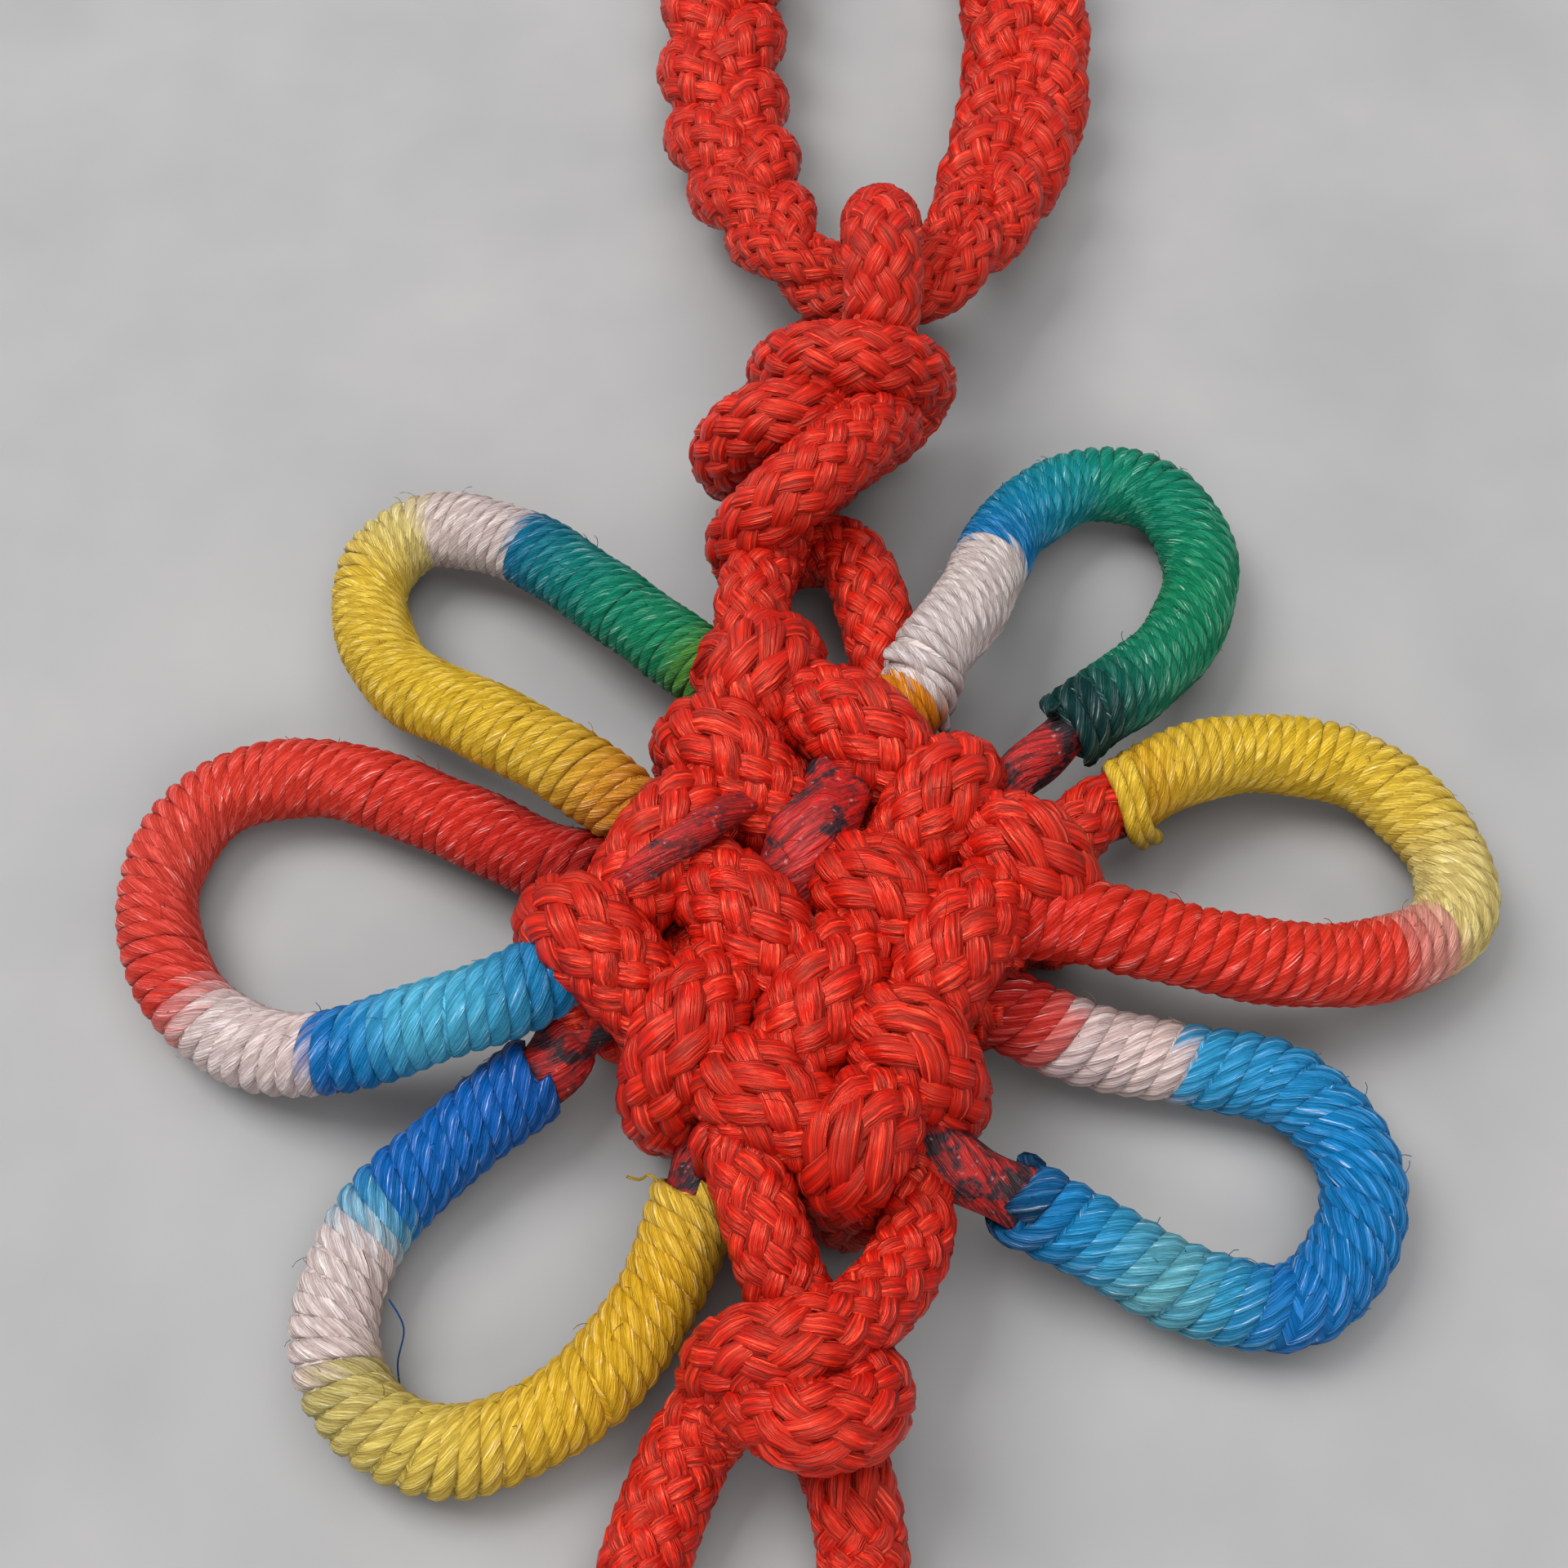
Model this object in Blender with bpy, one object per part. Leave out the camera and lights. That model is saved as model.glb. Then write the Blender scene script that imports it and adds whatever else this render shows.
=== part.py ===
"""Decorative flower knot tied from one round cord, with six thread-wrapped ears.

The knot is a basket weave of eight doubled lines, four each way. Its six ears are the same
cord wound tightly with silky thread. A double connection knot above it ends in a small loop
that holds a plaited hanging loop, and a second one below it ends in two short tails.

Lengths are in millimetres and the finished meshes are scaled to metres. The knot lies on the
plane z = 0, with +Y towards the hanging loop. The origin is under the crossing of the third
line of each family.
"""
import math

import bmesh
import bpy
from mathutils import Matrix, Vector

MILLIMETRE = 0.001
SPLINE_STEPS = 24
SHARP_ANGLE = 50.0

# The cord: its radius where it lies free, on top of a crossing, under one, and bare of its sheath
CORD_RADIUS = 1.0
OVER_RADIUS = 1.08
UNDER_RADIUS = 0.86
BARE_RADIUS = 0.72
CORE_RADIUS = 0.41

# The weave: its middle, the step from one line to the next, and the levels of its four layers
LINES_EACH_WAY = 4
WEAVE_CENTRE = (-0.28, 1.92)
STEP_ACROSS = (1.79, -1.59)
STEP_ALONG = (-1.26, -2.32)
WEAVE_LEVEL = 2.42
OVER_HEIGHT = 1.58
UNDER_HEIGHT = 0.56
BEND_REACH = 0.5
LEAD_REACH = 0.45
BACK_LEAD_REACH = 0.56
BACK_SHIFT = (0.07, -0.05)

# The thread winding on each ear, a sleeve that clears the cord inside it, and the length over
# which the cord narrows before it goes in
WRAP_RADIUS = 0.98
WRAP_WALL = 0.2
WRAP_GAP = 0.3
TAPER_LENGTH = 0.15

# The plait of the hanging loop: strands wound each way, and how far they stand out
PLAIT_STRANDS = 2
PLAIT_PITCH = 7.2
PLAIT_GROOVE = 0.5
PLAIT_LIFT = 0.2
PLAIT_SIDES = 14
PLAIT_STEP = 0.6
PLAIT_LOOK_AHEAD = 0.05

# How finely the round pieces are made
WEAVE_STEP = 0.8
CORD_STEP = 0.9
EAR_STEP = 1.25
FLOOR_DEPTH = 4.0
FLOOR_SIZE = 140.0
WELD_DISTANCE = 0.003

# Where each ear leaves and enters the weave: line family, line number, end, layer
EAR_ROOTS = {
    "upper_left": (("b", 1, -1, -1), ("b", 3, -1, 1)),
    "left": (("b", 3, -1, -1), ("a", 1, 1, 1)),
    "lower_left": (("a", 1, 1, -1), ("a", 3, 1, -1)),
    "upper_right": (("a", 2, -1, 1), ("a", 4, -1, 1)),
    "right": (("a", 4, -1, -1), ("b", 2, 1, 1)),
    "lower_right": (("b", 2, 1, -1), ("b", 4, 1, 1)),
}

# Each ear's route between its roots: x, y, z
EAR_ROUTES = {
    "upper_left": (
        (-2.5, 8.9, 2.3), (-3.6, 9.9, 2.2), (-5.4, 11.6, 1.9), (-7.5, 13.3, 1.6), (-9.9, 14.1, 1.3),
        (-11.2, 13.0, 1.2), (-11.2, 11.2, 1.3), (-10.1, 9.0, 2.0), (-8.1, 7.4, 2.9),
        (-6.2, 6.1, 3.3), (-4.9, 5.2, 3.2),
    ),
    "left": (
        (-5.4, 3.7, 2.2), (-6.4, 4.1, 1.9), (-8.6, 5.4, 1.5), (-11.9, 6.8, 1.15), (-14.5, 6.3, 1.05),
        (-15.6, 4.0, 1.05), (-14.9, 1.4, 1.05), (-13.1, -0.2, 1.2), (-11.0, -0.7, 1.9),
        (-8.6, -0.3, 2.8), (-6.9, 0.2, 3.1),
    ),
    "lower_left": (
        (-6.2, -1.0, 1.7), (-8.1, -2.5, 1.3), (-9.9, -4.4, 1.1), (-10.5, -6.8, 1.05), (-9.6, -8.6, 1.05),
        (-7.7, -9.3, 1.05), (-5.3, -8.3, 1.2), (-3.7, -6.4, 1.5), (-2.9, -4.4, 1.8),
    ),
    "upper_right": (
        (2.6, 9.0, 3.3), (3.6, 10.6, 2.9), (4.2, 12.2, 2.3), (5.0, 14.0, 1.7), (6.8, 15.5, 1.3),
        (8.8, 15.2, 1.15), (9.7, 13.1, 1.15), (9.0, 10.7, 1.5), (7.6, 8.9, 2.2), (6.4, 7.7, 2.8),
    ),
    "right": (
        (6.9, 5.6, 2.1), (8.6, 6.7, 1.9), (10.7, 7.3, 1.5), (13.1, 6.9, 1.2), (14.7, 5.0, 1.1),
        (14.7, 3.0, 1.15), (12.8, 1.7, 1.7), (10.2, 1.2, 2.6), (7.2, 1.5, 3.3), (5.6, 1.9, 3.3),
    ),
    "lower_right": (
        (4.6, 0.2, 1.7), (6.2, -0.3, 1.3), (8.4, -0.7, 1.15), (10.4, -1.2, 1.1), (11.7, -2.7, 1.05),
        (11.6, -4.6, 1.05), (10.1, -6.2, 1.05), (7.8, -5.9, 1.2), (5.8, -4.9, 1.6), (3.9, -4.1, 2.2),
        (2.7, -3.5, 2.6),
    ),
}

# How much of each ear is left bare before the winding starts and after it ends
EAR_BARE_ENDS = {
    "upper_left": (2.3, 2.2),
    "left": (2.1, 2.4),
    "lower_left": (2.6, 2.0),
    "upper_right": (3.7, 4.1),
    "right": (3.0, 3.7),
    "lower_right": (2.1, 3.0),
}

# The upper pair of cords, its knot and the small loop over the plait: x, y, z, radius
UPPER_ROUTE = (
    (-1.8, 9.0, 3.3, 1.0), (-1.75, 10.6, 3.4, 1.0), (-1.3, 12.2, 2.9, 1.0), (-0.8, 14.0, 1.9, 1.0),
    (0.4, 16.0, 1.4, 1.0), (2.2, 17.0, 2.0, 1.0), (2.3, 17.9, 3.4, 1.0), (0.8, 17.8, 4.3, 1.05),
    (-0.7, 17.6, 4.1, 1.0), (-1.5, 17.3, 2.9, 0.95), (-1.2, 17.7, 1.7, 0.9), (-0.7, 19.2, 1.1, 0.9),
    (0.2, 20.8, 0.95, 0.9), (1.2, 22.2, 1.1, 0.9), (1.5, 22.75, 2.4, 0.85), (1.6, 22.6, 4.0, 0.85),
    (1.6, 21.6, 5.3, 0.9), (1.6, 20.2, 5.65, 0.92), (1.55, 18.7, 5.1, 0.95), (1.2, 17.6, 3.8, 1.0),
    (0.4, 17.0, 3.4, 1.0), (-0.9, 16.5, 4.0, 1.0), (-2.1, 15.6, 3.7, 1.0), (-2.4, 15.2, 2.3, 1.0),
    (-1.2, 15.5, 1.3, 1.0), (0.8, 16.6, 1.9, 1.0), (1.7, 16.3, 3.2, 1.0), (1.1, 15.3, 4.3, 1.0),
    (-0.2, 14.1, 4.4, 1.05), (-1.6, 13.0, 4.0, 1.05), (-2.3, 12.6, 2.7, 1.0), (-1.5, 12.9, 1.4, 1.0),
    (0.1, 13.3, 1.3, 1.0), (0.9, 12.4, 2.0, 1.0), (1.35, 10.6, 2.0, 1.0), (1.6, 9.2, 2.0, 0.95),
)

# The lower pair of cords, each through its half of the lower knot and out as a tail
LOWER_LEFT_ROUTE = (
    (-1.8, -3.3, 3.2, 1.0), (-1.5, -4.6, 3.3, 1.0), (-1.1, -5.8, 3.2, 1.0), (-0.7, -6.8, 2.8, 1.0),
    (0.0, -7.9, 2.2, 1.0), (0.8, -8.6, 2.4, 1.0), (0.75, -9.5, 3.3, 1.0), (-0.3, -9.9, 3.8, 1.05),
    (-1.2, -9.1, 3.3, 1.0), (-1.9, -8.6, 2.2, 1.0), (-2.7, -9.1, 1.5, 1.0), (-3.3, -10.3, 1.15, 1.0),
    (-3.8, -11.8, 1.0, 1.0), (-4.3, -14.0, 1.0, 1.0), (-4.6, -16.6, 1.0, 0.98), (-4.6, -17.6, 1.0, 0.9),
)
LOWER_RIGHT_ROUTE = (
    (1.2, -3.1, 2.2, 0.95), (1.6, -4.3, 2.3, 1.0), (1.4, -5.5, 2.7, 1.0), (0.6, -6.9, 3.4, 1.0),
    (-0.7, -7.5, 4.1, 1.05), (-2.0, -7.7, 3.5, 1.05), (-2.3, -7.9, 2.2, 1.0), (-1.3, -8.3, 1.2, 1.0),
    (0.0, -9.1, 1.2, 1.0), (0.5, -10.3, 1.5, 1.0), (0.7, -11.4, 1.1, 1.0), (0.8, -12.8, 1.0, 1.0),
    (1.1, -14.8, 1.0, 1.0), (1.5, -17.2, 1.0, 0.98), (1.6, -18.2, 1.0, 0.9),
)

# The hanging loop, a closed ring of plaited cord pinched where the small loop holds it
HANGING_ROUTE = (
    (1.5, 20.2, 3.25, 1.1), (0.1, 20.8, 3.2, 1.15), (-0.9, 22.2, 3.0, 1.3), (-1.6, 24.0, 2.5, 1.6),
    (-2.2, 26.2, 2.0, 1.85), (-2.6, 28.6, 1.83, 1.95), (-2.7, 31.2, 1.8, 1.95), (-2.6, 34.0, 1.8, 1.95),
    (-2.3, 37.0, 1.8, 1.95), (-1.0, 39.8, 1.8, 1.95), (1.7, 41.2, 1.8, 1.95), (4.4, 39.8, 1.8, 1.95),
    (5.8, 37.0, 1.8, 1.95), (6.1, 34.0, 1.8, 1.95), (6.15, 31.2, 1.8, 1.95), (5.9, 28.6, 1.83, 1.95),
    (5.3, 26.2, 2.0, 1.85), (4.6, 24.0, 2.5, 1.6), (3.9, 22.2, 3.0, 1.3), (2.9, 20.8, 3.2, 1.15),
)

CORD_RED = (0.62, 0.022, 0.010)
WRAP_COLOURS = {
    "upper_left": (0.02, 0.22, 0.16),
    "left": (0.62, 0.03, 0.02),
    "lower_left": (0.01, 0.13, 0.50),
    "upper_right": (0.01, 0.24, 0.12),
    "right": (0.72, 0.42, 0.02),
    "lower_right": (0.02, 0.25, 0.55),
}


def clear_scene():
    for thing in list(bpy.data.objects):
        bpy.data.objects.remove(thing, do_unlink=True)


def plain_material(name, colour, roughness):
    material = bpy.data.materials.new(name)
    material.use_nodes = True
    shader = material.node_tree.nodes["Principled BSDF"]
    shader.inputs["Base Color"].default_value = (*colour, 1.0)
    shader.inputs["Roughness"].default_value = roughness
    shader.inputs["Metallic"].default_value = 0.0
    return material


def spline_point(before, start, end, after, t):
    """A point of the smooth curve through start and end, each row as long as the others."""
    values = []
    for p0, p1, p2, p3 in zip(before, start, end, after):
        linear = (p2 - p0) * t
        square = (2 * p0 - 5 * p1 + 4 * p2 - p3) * t * t
        cube = (3 * p1 - p0 - 3 * p2 + p3) * t * t * t
        values.append(p1 + 0.5 * (linear + square + cube))
    return values


def smooth_route(rows, closed=False):
    """Many close rows along the smooth curve through the given rows, with distances along it."""
    count = len(rows)
    spans = count if closed else count - 1
    fine = []
    for span in range(spans):
        if closed:
            picked = [rows[(span + shift) % count] for shift in (-1, 0, 1, 2)]
        else:
            picked = [rows[min(max(span + shift, 0), count - 1)] for shift in (-1, 0, 1, 2)]
        fine += [spline_point(*picked, step / SPLINE_STEPS) for step in range(SPLINE_STEPS)]
    fine.append(list(rows[0] if closed else rows[-1]))
    distances = [0.0]
    for first, second in zip(fine, fine[1:]):
        distances.append(distances[-1] + (Vector(second[:3]) - Vector(first[:3])).length)
    return fine, distances


def row_at(fine, distances, distance):
    """The route's row at a distance along it."""
    for index in range(1, len(distances)):
        if distances[index] >= distance:
            break
    length = distances[index] - distances[index - 1]
    share = (distance - distances[index - 1]) / length
    return [a + (b - a) * share for a, b in zip(fine[index - 1], fine[index])]


def even_rows(rows, step):
    """Rows at even distances along the smooth curve through the given rows."""
    fine, distances = smooth_route(rows)
    count = max(2, round(distances[-1] / step))
    return [row_at(fine, distances, distances[-1] * index / count) for index in range(count + 1)]


def tube(name, rows, sides=8, capped=True):
    """A round tube through rows of x, y, z and radius, as a mesh object."""
    curve = bpy.data.curves.new(name, "CURVE")
    curve.dimensions = "3D"
    curve.bevel_depth = 1.0
    curve.bevel_resolution = (sides - 4) // 2
    curve.use_fill_caps = capped
    spline = curve.splines.new("POLY")
    spline.points.add(len(rows) - 1)
    for point, (x, y, z, radius) in zip(spline.points, rows):
        point.co = (x, y, z, 1.0)
        point.radius = radius
    guide = bpy.data.objects.new(name, curve)
    bpy.context.collection.objects.link(guide)
    bpy.context.view_layer.update()
    mesh = bpy.data.meshes.new_from_object(guide)
    bpy.data.objects.remove(guide, do_unlink=True)
    piece = bpy.data.objects.new(name, mesh)
    bpy.context.collection.objects.link(piece)
    return piece


def crossing(across, along):
    """Where line number across of family a meets line number along of family b."""
    middle = (LINES_EACH_WAY + 1) / 2
    x = WEAVE_CENTRE[0] + (across - middle) * STEP_ACROSS[0] + (along - middle) * STEP_ALONG[0]
    y = WEAVE_CENTRE[1] + (across - middle) * STEP_ACROSS[1] + (along - middle) * STEP_ALONG[1]
    return x, y


def place_on_line(family, number, along):
    if family == "a":
        return crossing(number, along)
    return crossing(along, number)


def layered(x, y, height, layer, radius):
    """A row above or below the middle of the weave, the back ones a little to one side."""
    if layer < 0:
        x += BACK_SHIFT[0]
        y += BACK_SHIFT[1]
    return x, y, WEAVE_LEVEL + layer * height, radius


def weave_row(family, number, along, layer):
    """A row of the route at a crossing: family a is the outer one where the numbers' sum is even."""
    x, y = place_on_line(family, number, along)
    outer = (number + along) % 2 == (0 if family == "a" else 1)
    height = OVER_HEIGHT if outer else UNDER_HEIGHT
    radius = OVER_RADIUS if outer else UNDER_RADIUS
    return layered(x, y, height, layer, radius)


def lead_row(family, number, end, layer, radius):
    """The row just outside the weave where a strand of a line leaves it."""
    last = 1 if end < 0 else LINES_EACH_WAY
    reach = LEAD_REACH if layer > 0 else BACK_LEAD_REACH
    x, y = place_on_line(family, number, last + end * reach)
    return layered(x, y, UNDER_HEIGHT, layer, radius)


def doubled_line(family, number):
    """One line of the weave: along its front, round its tight bend and back underneath."""
    bend_end = -1 if (number % 2 == 1) == (family == "a") else 1
    order = range(1, LINES_EACH_WAY + 1)
    if bend_end < 0:
        order = reversed(order)
    order = list(order)
    front = [weave_row(family, number, along, 1) for along in order]
    back = [weave_row(family, number, along, -1) for along in reversed(order)]
    x, y = place_on_line(family, number, order[-1] + bend_end * BEND_REACH)
    bend = (x, y, WEAVE_LEVEL, CORD_RADIUS)
    front_lead = lead_row(family, number, -bend_end, 1, UNDER_RADIUS)
    back_lead = lead_row(family, number, -bend_end, -1, UNDER_RADIUS)
    rows = [front_lead, *front, bend, *back, back_lead]
    return tube(f"line_{family}{number}", even_rows(rows, WEAVE_STEP))


def root_rows(root, radius):
    """Two rows that carry a strand out of the weave: inside the last crossing, then past it."""
    family, number, end, layer = root
    last = 1 if end < 0 else LINES_EACH_WAY
    x, y = place_on_line(family, number, last)
    inside = layered(x, y, UNDER_HEIGHT, layer, radius)
    return [inside, lead_row(family, number, end, layer, radius)]


def ear_route(ear):
    """The whole route of an ear with its roots, and where its winding starts and ends."""
    first, last = EAR_ROOTS[ear]
    start = root_rows(first, BARE_RADIUS)
    finish = root_rows(last, BARE_RADIUS)[::-1]
    middle = [(*point, BARE_RADIUS) for point in EAR_ROUTES[ear]]
    fine, distances = smooth_route([*start, *middle, *finish])
    bare_first, bare_last = EAR_BARE_ENDS[ear]
    root_length = (Vector(start[1][:3]) - Vector(start[0][:3])).length
    wrap_start = root_length + bare_first
    wrap_end = distances[-1] - root_length - bare_last
    return fine, distances, wrap_start, wrap_end


def ear_cord(ear):
    """The cord through an ear: bare outside the winding and a thinner core inside it."""
    fine, distances, wrap_start, wrap_end = ear_route(ear)
    inner_count = round((wrap_end - wrap_start) / EAR_STEP)
    inner_step = (wrap_end - wrap_start) / inner_count
    places = [(0.0, BARE_RADIUS), (wrap_start / 3, BARE_RADIUS), (wrap_start * 2 / 3, BARE_RADIUS)]
    places += [(wrap_start - WRAP_GAP - TAPER_LENGTH, BARE_RADIUS)]
    places += [(wrap_start - WRAP_GAP, CORE_RADIUS)]
    places += [(wrap_start + inner_step * step, CORE_RADIUS) for step in range(inner_count + 1)]
    rest = distances[-1] - wrap_end
    places += [(wrap_end + WRAP_GAP, CORE_RADIUS)]
    places += [(wrap_end + WRAP_GAP + TAPER_LENGTH, BARE_RADIUS)]
    places += [(wrap_end + rest / 3, BARE_RADIUS), (wrap_end + rest * 2 / 3, BARE_RADIUS)]
    places += [(distances[-1], BARE_RADIUS)]
    rows = [(*row_at(fine, distances, place)[:3], radius) for place, radius in places]
    return tube(f"core_{ear}", rows, sides=6)


def ear_wrap(ear):
    """The thread winding on an ear, as one sleeve open at both ends."""
    fine, distances, wrap_start, wrap_end = ear_route(ear)
    count = round((wrap_end - wrap_start) / EAR_STEP)
    rows = []
    for index in range(count + 1):
        place = wrap_start + (wrap_end - wrap_start) * index / count
        rows.append((*row_at(fine, distances, place)[:3], WRAP_RADIUS))
    sleeve = tube(f"ear_wrap_{ear}", rows, capped=False)
    wall = sleeve.modifiers.new("wall", "SOLIDIFY")
    wall.thickness = WRAP_WALL
    wall.offset = -1.0
    wall.use_rim = True
    mesh = evaluated_mesh(sleeve)
    bpy.data.objects.remove(sleeve, do_unlink=True)
    return finished(f"ear_wrap_{ear}", mesh, plain_material(f"thread_{ear}", WRAP_COLOURS[ear], 0.4))


def evaluated_mesh(thing):
    graph = bpy.context.evaluated_depsgraph_get()
    graph.update()
    return bpy.data.meshes.new_from_object(thing.evaluated_get(graph))


def floor_block():
    """The block below z = 0 that presses a piece's underside flat."""
    shape = bmesh.new()
    bmesh.ops.create_cube(shape, size=1.0)
    bmesh.ops.scale(shape, vec=(FLOOR_SIZE, FLOOR_SIZE, FLOOR_DEPTH), verts=shape.verts)
    bmesh.ops.translate(shape, vec=(0.0, 0.0, -FLOOR_DEPTH / 2), verts=shape.verts)
    mesh = bpy.data.meshes.new("floor_block")
    shape.to_mesh(mesh)
    shape.free()
    block = bpy.data.objects.new("floor_block", mesh)
    bpy.context.collection.objects.link(block)
    return block


def keep_outer_skin(shape):
    """Weld slivers, then fill the sealed pockets between strands by dropping their walls."""
    bmesh.ops.remove_doubles(shape, verts=shape.verts, dist=WELD_DISTANCE)
    bmesh.ops.dissolve_degenerate(shape, edges=shape.edges, dist=WELD_DISTANCE)
    bmesh.ops.triangulate(shape, faces=shape.faces)
    left = set(shape.faces)
    shells = []
    while left:
        stack = [left.pop()]
        shell = list(stack)
        while stack:
            face = stack.pop()
            near = {other for edge in face.edges for other in edge.link_faces} & left
            left -= near
            stack += near
            shell += near
        shells.append(shell)
    shells.sort(key=len)
    for shell in shells[:-1]:
        bmesh.ops.delete(shape, geom=shell, context="FACES")
    loose = [vert for vert in shape.verts if not vert.link_faces]
    bmesh.ops.delete(shape, geom=loose, context="VERTS")


def finished(name, mesh, material):
    """Scale a mesh to metres and make it the named object of its piece."""
    shape = bmesh.new()
    shape.from_mesh(mesh)
    keep_outer_skin(shape)
    bmesh.ops.transform(shape, matrix=Matrix.Scale(MILLIMETRE, 4), verts=shape.verts)
    shape.to_mesh(mesh)
    shape.free()
    mesh.name = name
    mesh.shade_smooth()
    mesh.set_sharp_from_angle(angle=math.radians(SHARP_ANGLE))
    mesh.materials.clear()
    mesh.materials.append(material)
    piece = bpy.data.objects.new(name, mesh)
    bpy.context.collection.objects.link(piece)
    return piece


def fused(name, tubes, material):
    """One solid from overlapping tubes, pressed flat where it lies on the surface."""
    base = tubes[0]
    others = bpy.data.collections.new("others")
    bpy.context.scene.collection.children.link(others)
    for piece in tubes[1:]:
        bpy.context.collection.objects.unlink(piece)
        others.objects.link(piece)
    union = base.modifiers.new("union", "BOOLEAN")
    union.operation = "UNION"
    union.solver = "EXACT"
    union.operand_type = "COLLECTION"
    union.collection = others
    union.use_self = True
    block = floor_block()
    press = base.modifiers.new("press", "BOOLEAN")
    press.operation = "DIFFERENCE"
    press.solver = "EXACT"
    press.object = block
    mesh = evaluated_mesh(base)
    for piece in [*tubes, block]:
        bpy.data.objects.remove(piece, do_unlink=True)
    bpy.data.collections.remove(others)
    return finished(name, mesh, material)


def knot_cord():
    """The one cord of the knot: its weave, ear cores, both connection knots and the tails."""
    tubes = []
    for family in "ab":
        for number in range(1, LINES_EACH_WAY + 1):
            tubes.append(doubled_line(family, number))
    for ear in EAR_ROUTES:
        tubes.append(ear_cord(ear))
    upper_left = root_rows(("b", 1, -1, 1), UNDER_RADIUS)
    upper_right = root_rows(("a", 2, -1, -1), UNDER_RADIUS)
    lower_left = root_rows(("a", 3, 1, 1), UNDER_RADIUS)
    lower_right = root_rows(("b", 4, 1, -1), UNDER_RADIUS)
    routes = {
        "upper": [*upper_left, *UPPER_ROUTE, *upper_right[::-1]],
        "lower_left": [*lower_left, *LOWER_LEFT_ROUTE],
        "lower_right": [*lower_right, *LOWER_RIGHT_ROUTE],
    }
    for name, rows in routes.items():
        tubes.append(tube(f"cord_{name}", even_rows(rows, CORD_STEP)))
    return fused("knot_cord", tubes, plain_material("red_cord", CORD_RED, 0.55))


def plait_radius(angle, distance):
    """How far out the plait's skin lies, as a share of its radius: the highest strand there."""
    winding = 2 * math.pi * distance / PLAIT_PITCH
    highest = 0.0
    for strand in range(PLAIT_STRANDS):
        for turn in (1, -1):
            centre = turn * winding + math.pi * strand + math.pi / 4
            offset = (angle - centre + math.pi) % (2 * math.pi) - math.pi
            ridge = math.sqrt(max(0.0, 1.0 - offset * offset))
            lift = 1.0 - PLAIT_LIFT * (1.0 - turn * math.cos(2 * winding))
            highest = max(highest, ridge * lift)
    return 1.0 - PLAIT_GROOVE * (1.0 - highest)


def hanging_loop():
    """The plaited hanging loop, a closed ring with its strands raised, pressed flat below."""
    fine, distances = smooth_route(HANGING_ROUTE, closed=True)
    count = round(distances[-1] / PLAIT_STEP)
    shape = bmesh.new()
    rings = []
    for index in range(count):
        place = distances[-1] * index / count
        row = row_at(fine, distances, place)
        ahead = row_at(fine, distances, min(place + PLAIT_LOOK_AHEAD, distances[-1]))
        forward = (Vector(ahead[:3]) - Vector(row[:3])).normalized()
        side = forward.cross(Vector((0.0, 0.0, 1.0))).normalized()
        up = side.cross(forward)
        ring = []
        for corner in range(PLAIT_SIDES):
            angle = 2 * math.pi * corner / PLAIT_SIDES
            radius = row[3] * plait_radius(angle, place)
            spot = Vector(row[:3]) + side * (radius * math.cos(angle)) + up * (radius * math.sin(angle))
            ring.append(shape.verts.new(spot))
        rings.append(ring)
    for ring, following in zip(rings, rings[1:] + rings[:1]):
        for corner in range(PLAIT_SIDES):
            after = (corner + 1) % PLAIT_SIDES
            shape.faces.new((ring[corner], ring[after], following[after], following[corner]))
    bmesh.ops.triangulate(shape, faces=shape.faces)
    bmesh.ops.recalc_face_normals(shape, faces=shape.faces)
    mesh = bpy.data.meshes.new("hanging_loop")
    shape.to_mesh(mesh)
    shape.free()
    ring_object = bpy.data.objects.new("ring", mesh)
    bpy.context.collection.objects.link(ring_object)
    block = floor_block()
    press = ring_object.modifiers.new("press", "BOOLEAN")
    press.operation = "DIFFERENCE"
    press.solver = "EXACT"
    press.object = block
    pressed = evaluated_mesh(ring_object)
    bpy.data.objects.remove(ring_object, do_unlink=True)
    bpy.data.objects.remove(block, do_unlink=True)
    return finished("hanging_loop", pressed, plain_material("red_plait", CORD_RED, 0.6))


clear_scene()
knot_cord()
for ear_name in EAR_ROUTES:
    ear_wrap(ear_name)
hanging_loop()
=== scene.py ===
"""The looks of a decorative flower knot: braided red cord, six ears wound with dyed thread.

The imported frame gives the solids. Each one is replaced by the strands that the real piece is
made of. Lengths are in millimetres until a piece is finished, and then it is scaled to metres.
"""

import math
import random

import bmesh
import bpy
from mathutils import Matrix, Vector


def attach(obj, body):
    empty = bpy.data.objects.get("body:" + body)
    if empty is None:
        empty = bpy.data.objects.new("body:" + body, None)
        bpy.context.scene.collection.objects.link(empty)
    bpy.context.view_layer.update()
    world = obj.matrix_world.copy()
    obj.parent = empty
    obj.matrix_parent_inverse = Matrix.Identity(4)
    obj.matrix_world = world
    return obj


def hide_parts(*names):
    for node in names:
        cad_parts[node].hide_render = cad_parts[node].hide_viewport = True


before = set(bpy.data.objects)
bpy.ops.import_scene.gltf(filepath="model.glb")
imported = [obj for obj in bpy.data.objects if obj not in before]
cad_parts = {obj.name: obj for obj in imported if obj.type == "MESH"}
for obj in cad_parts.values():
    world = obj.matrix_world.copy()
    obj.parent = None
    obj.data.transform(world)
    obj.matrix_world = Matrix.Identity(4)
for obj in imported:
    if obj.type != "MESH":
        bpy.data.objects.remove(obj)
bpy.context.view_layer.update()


# Camera: a close look down at the knot as it lies, the hanging loop leaving the picture at the
# top and the tails at the bottom.
MILLIMETRE = 0.001
CAMERA_TARGET = Vector((-0.9, 5.7, 2.8))
CAMERA_DISTANCE = 55.2
CAMERA_ELEVATION = 60.0
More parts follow.
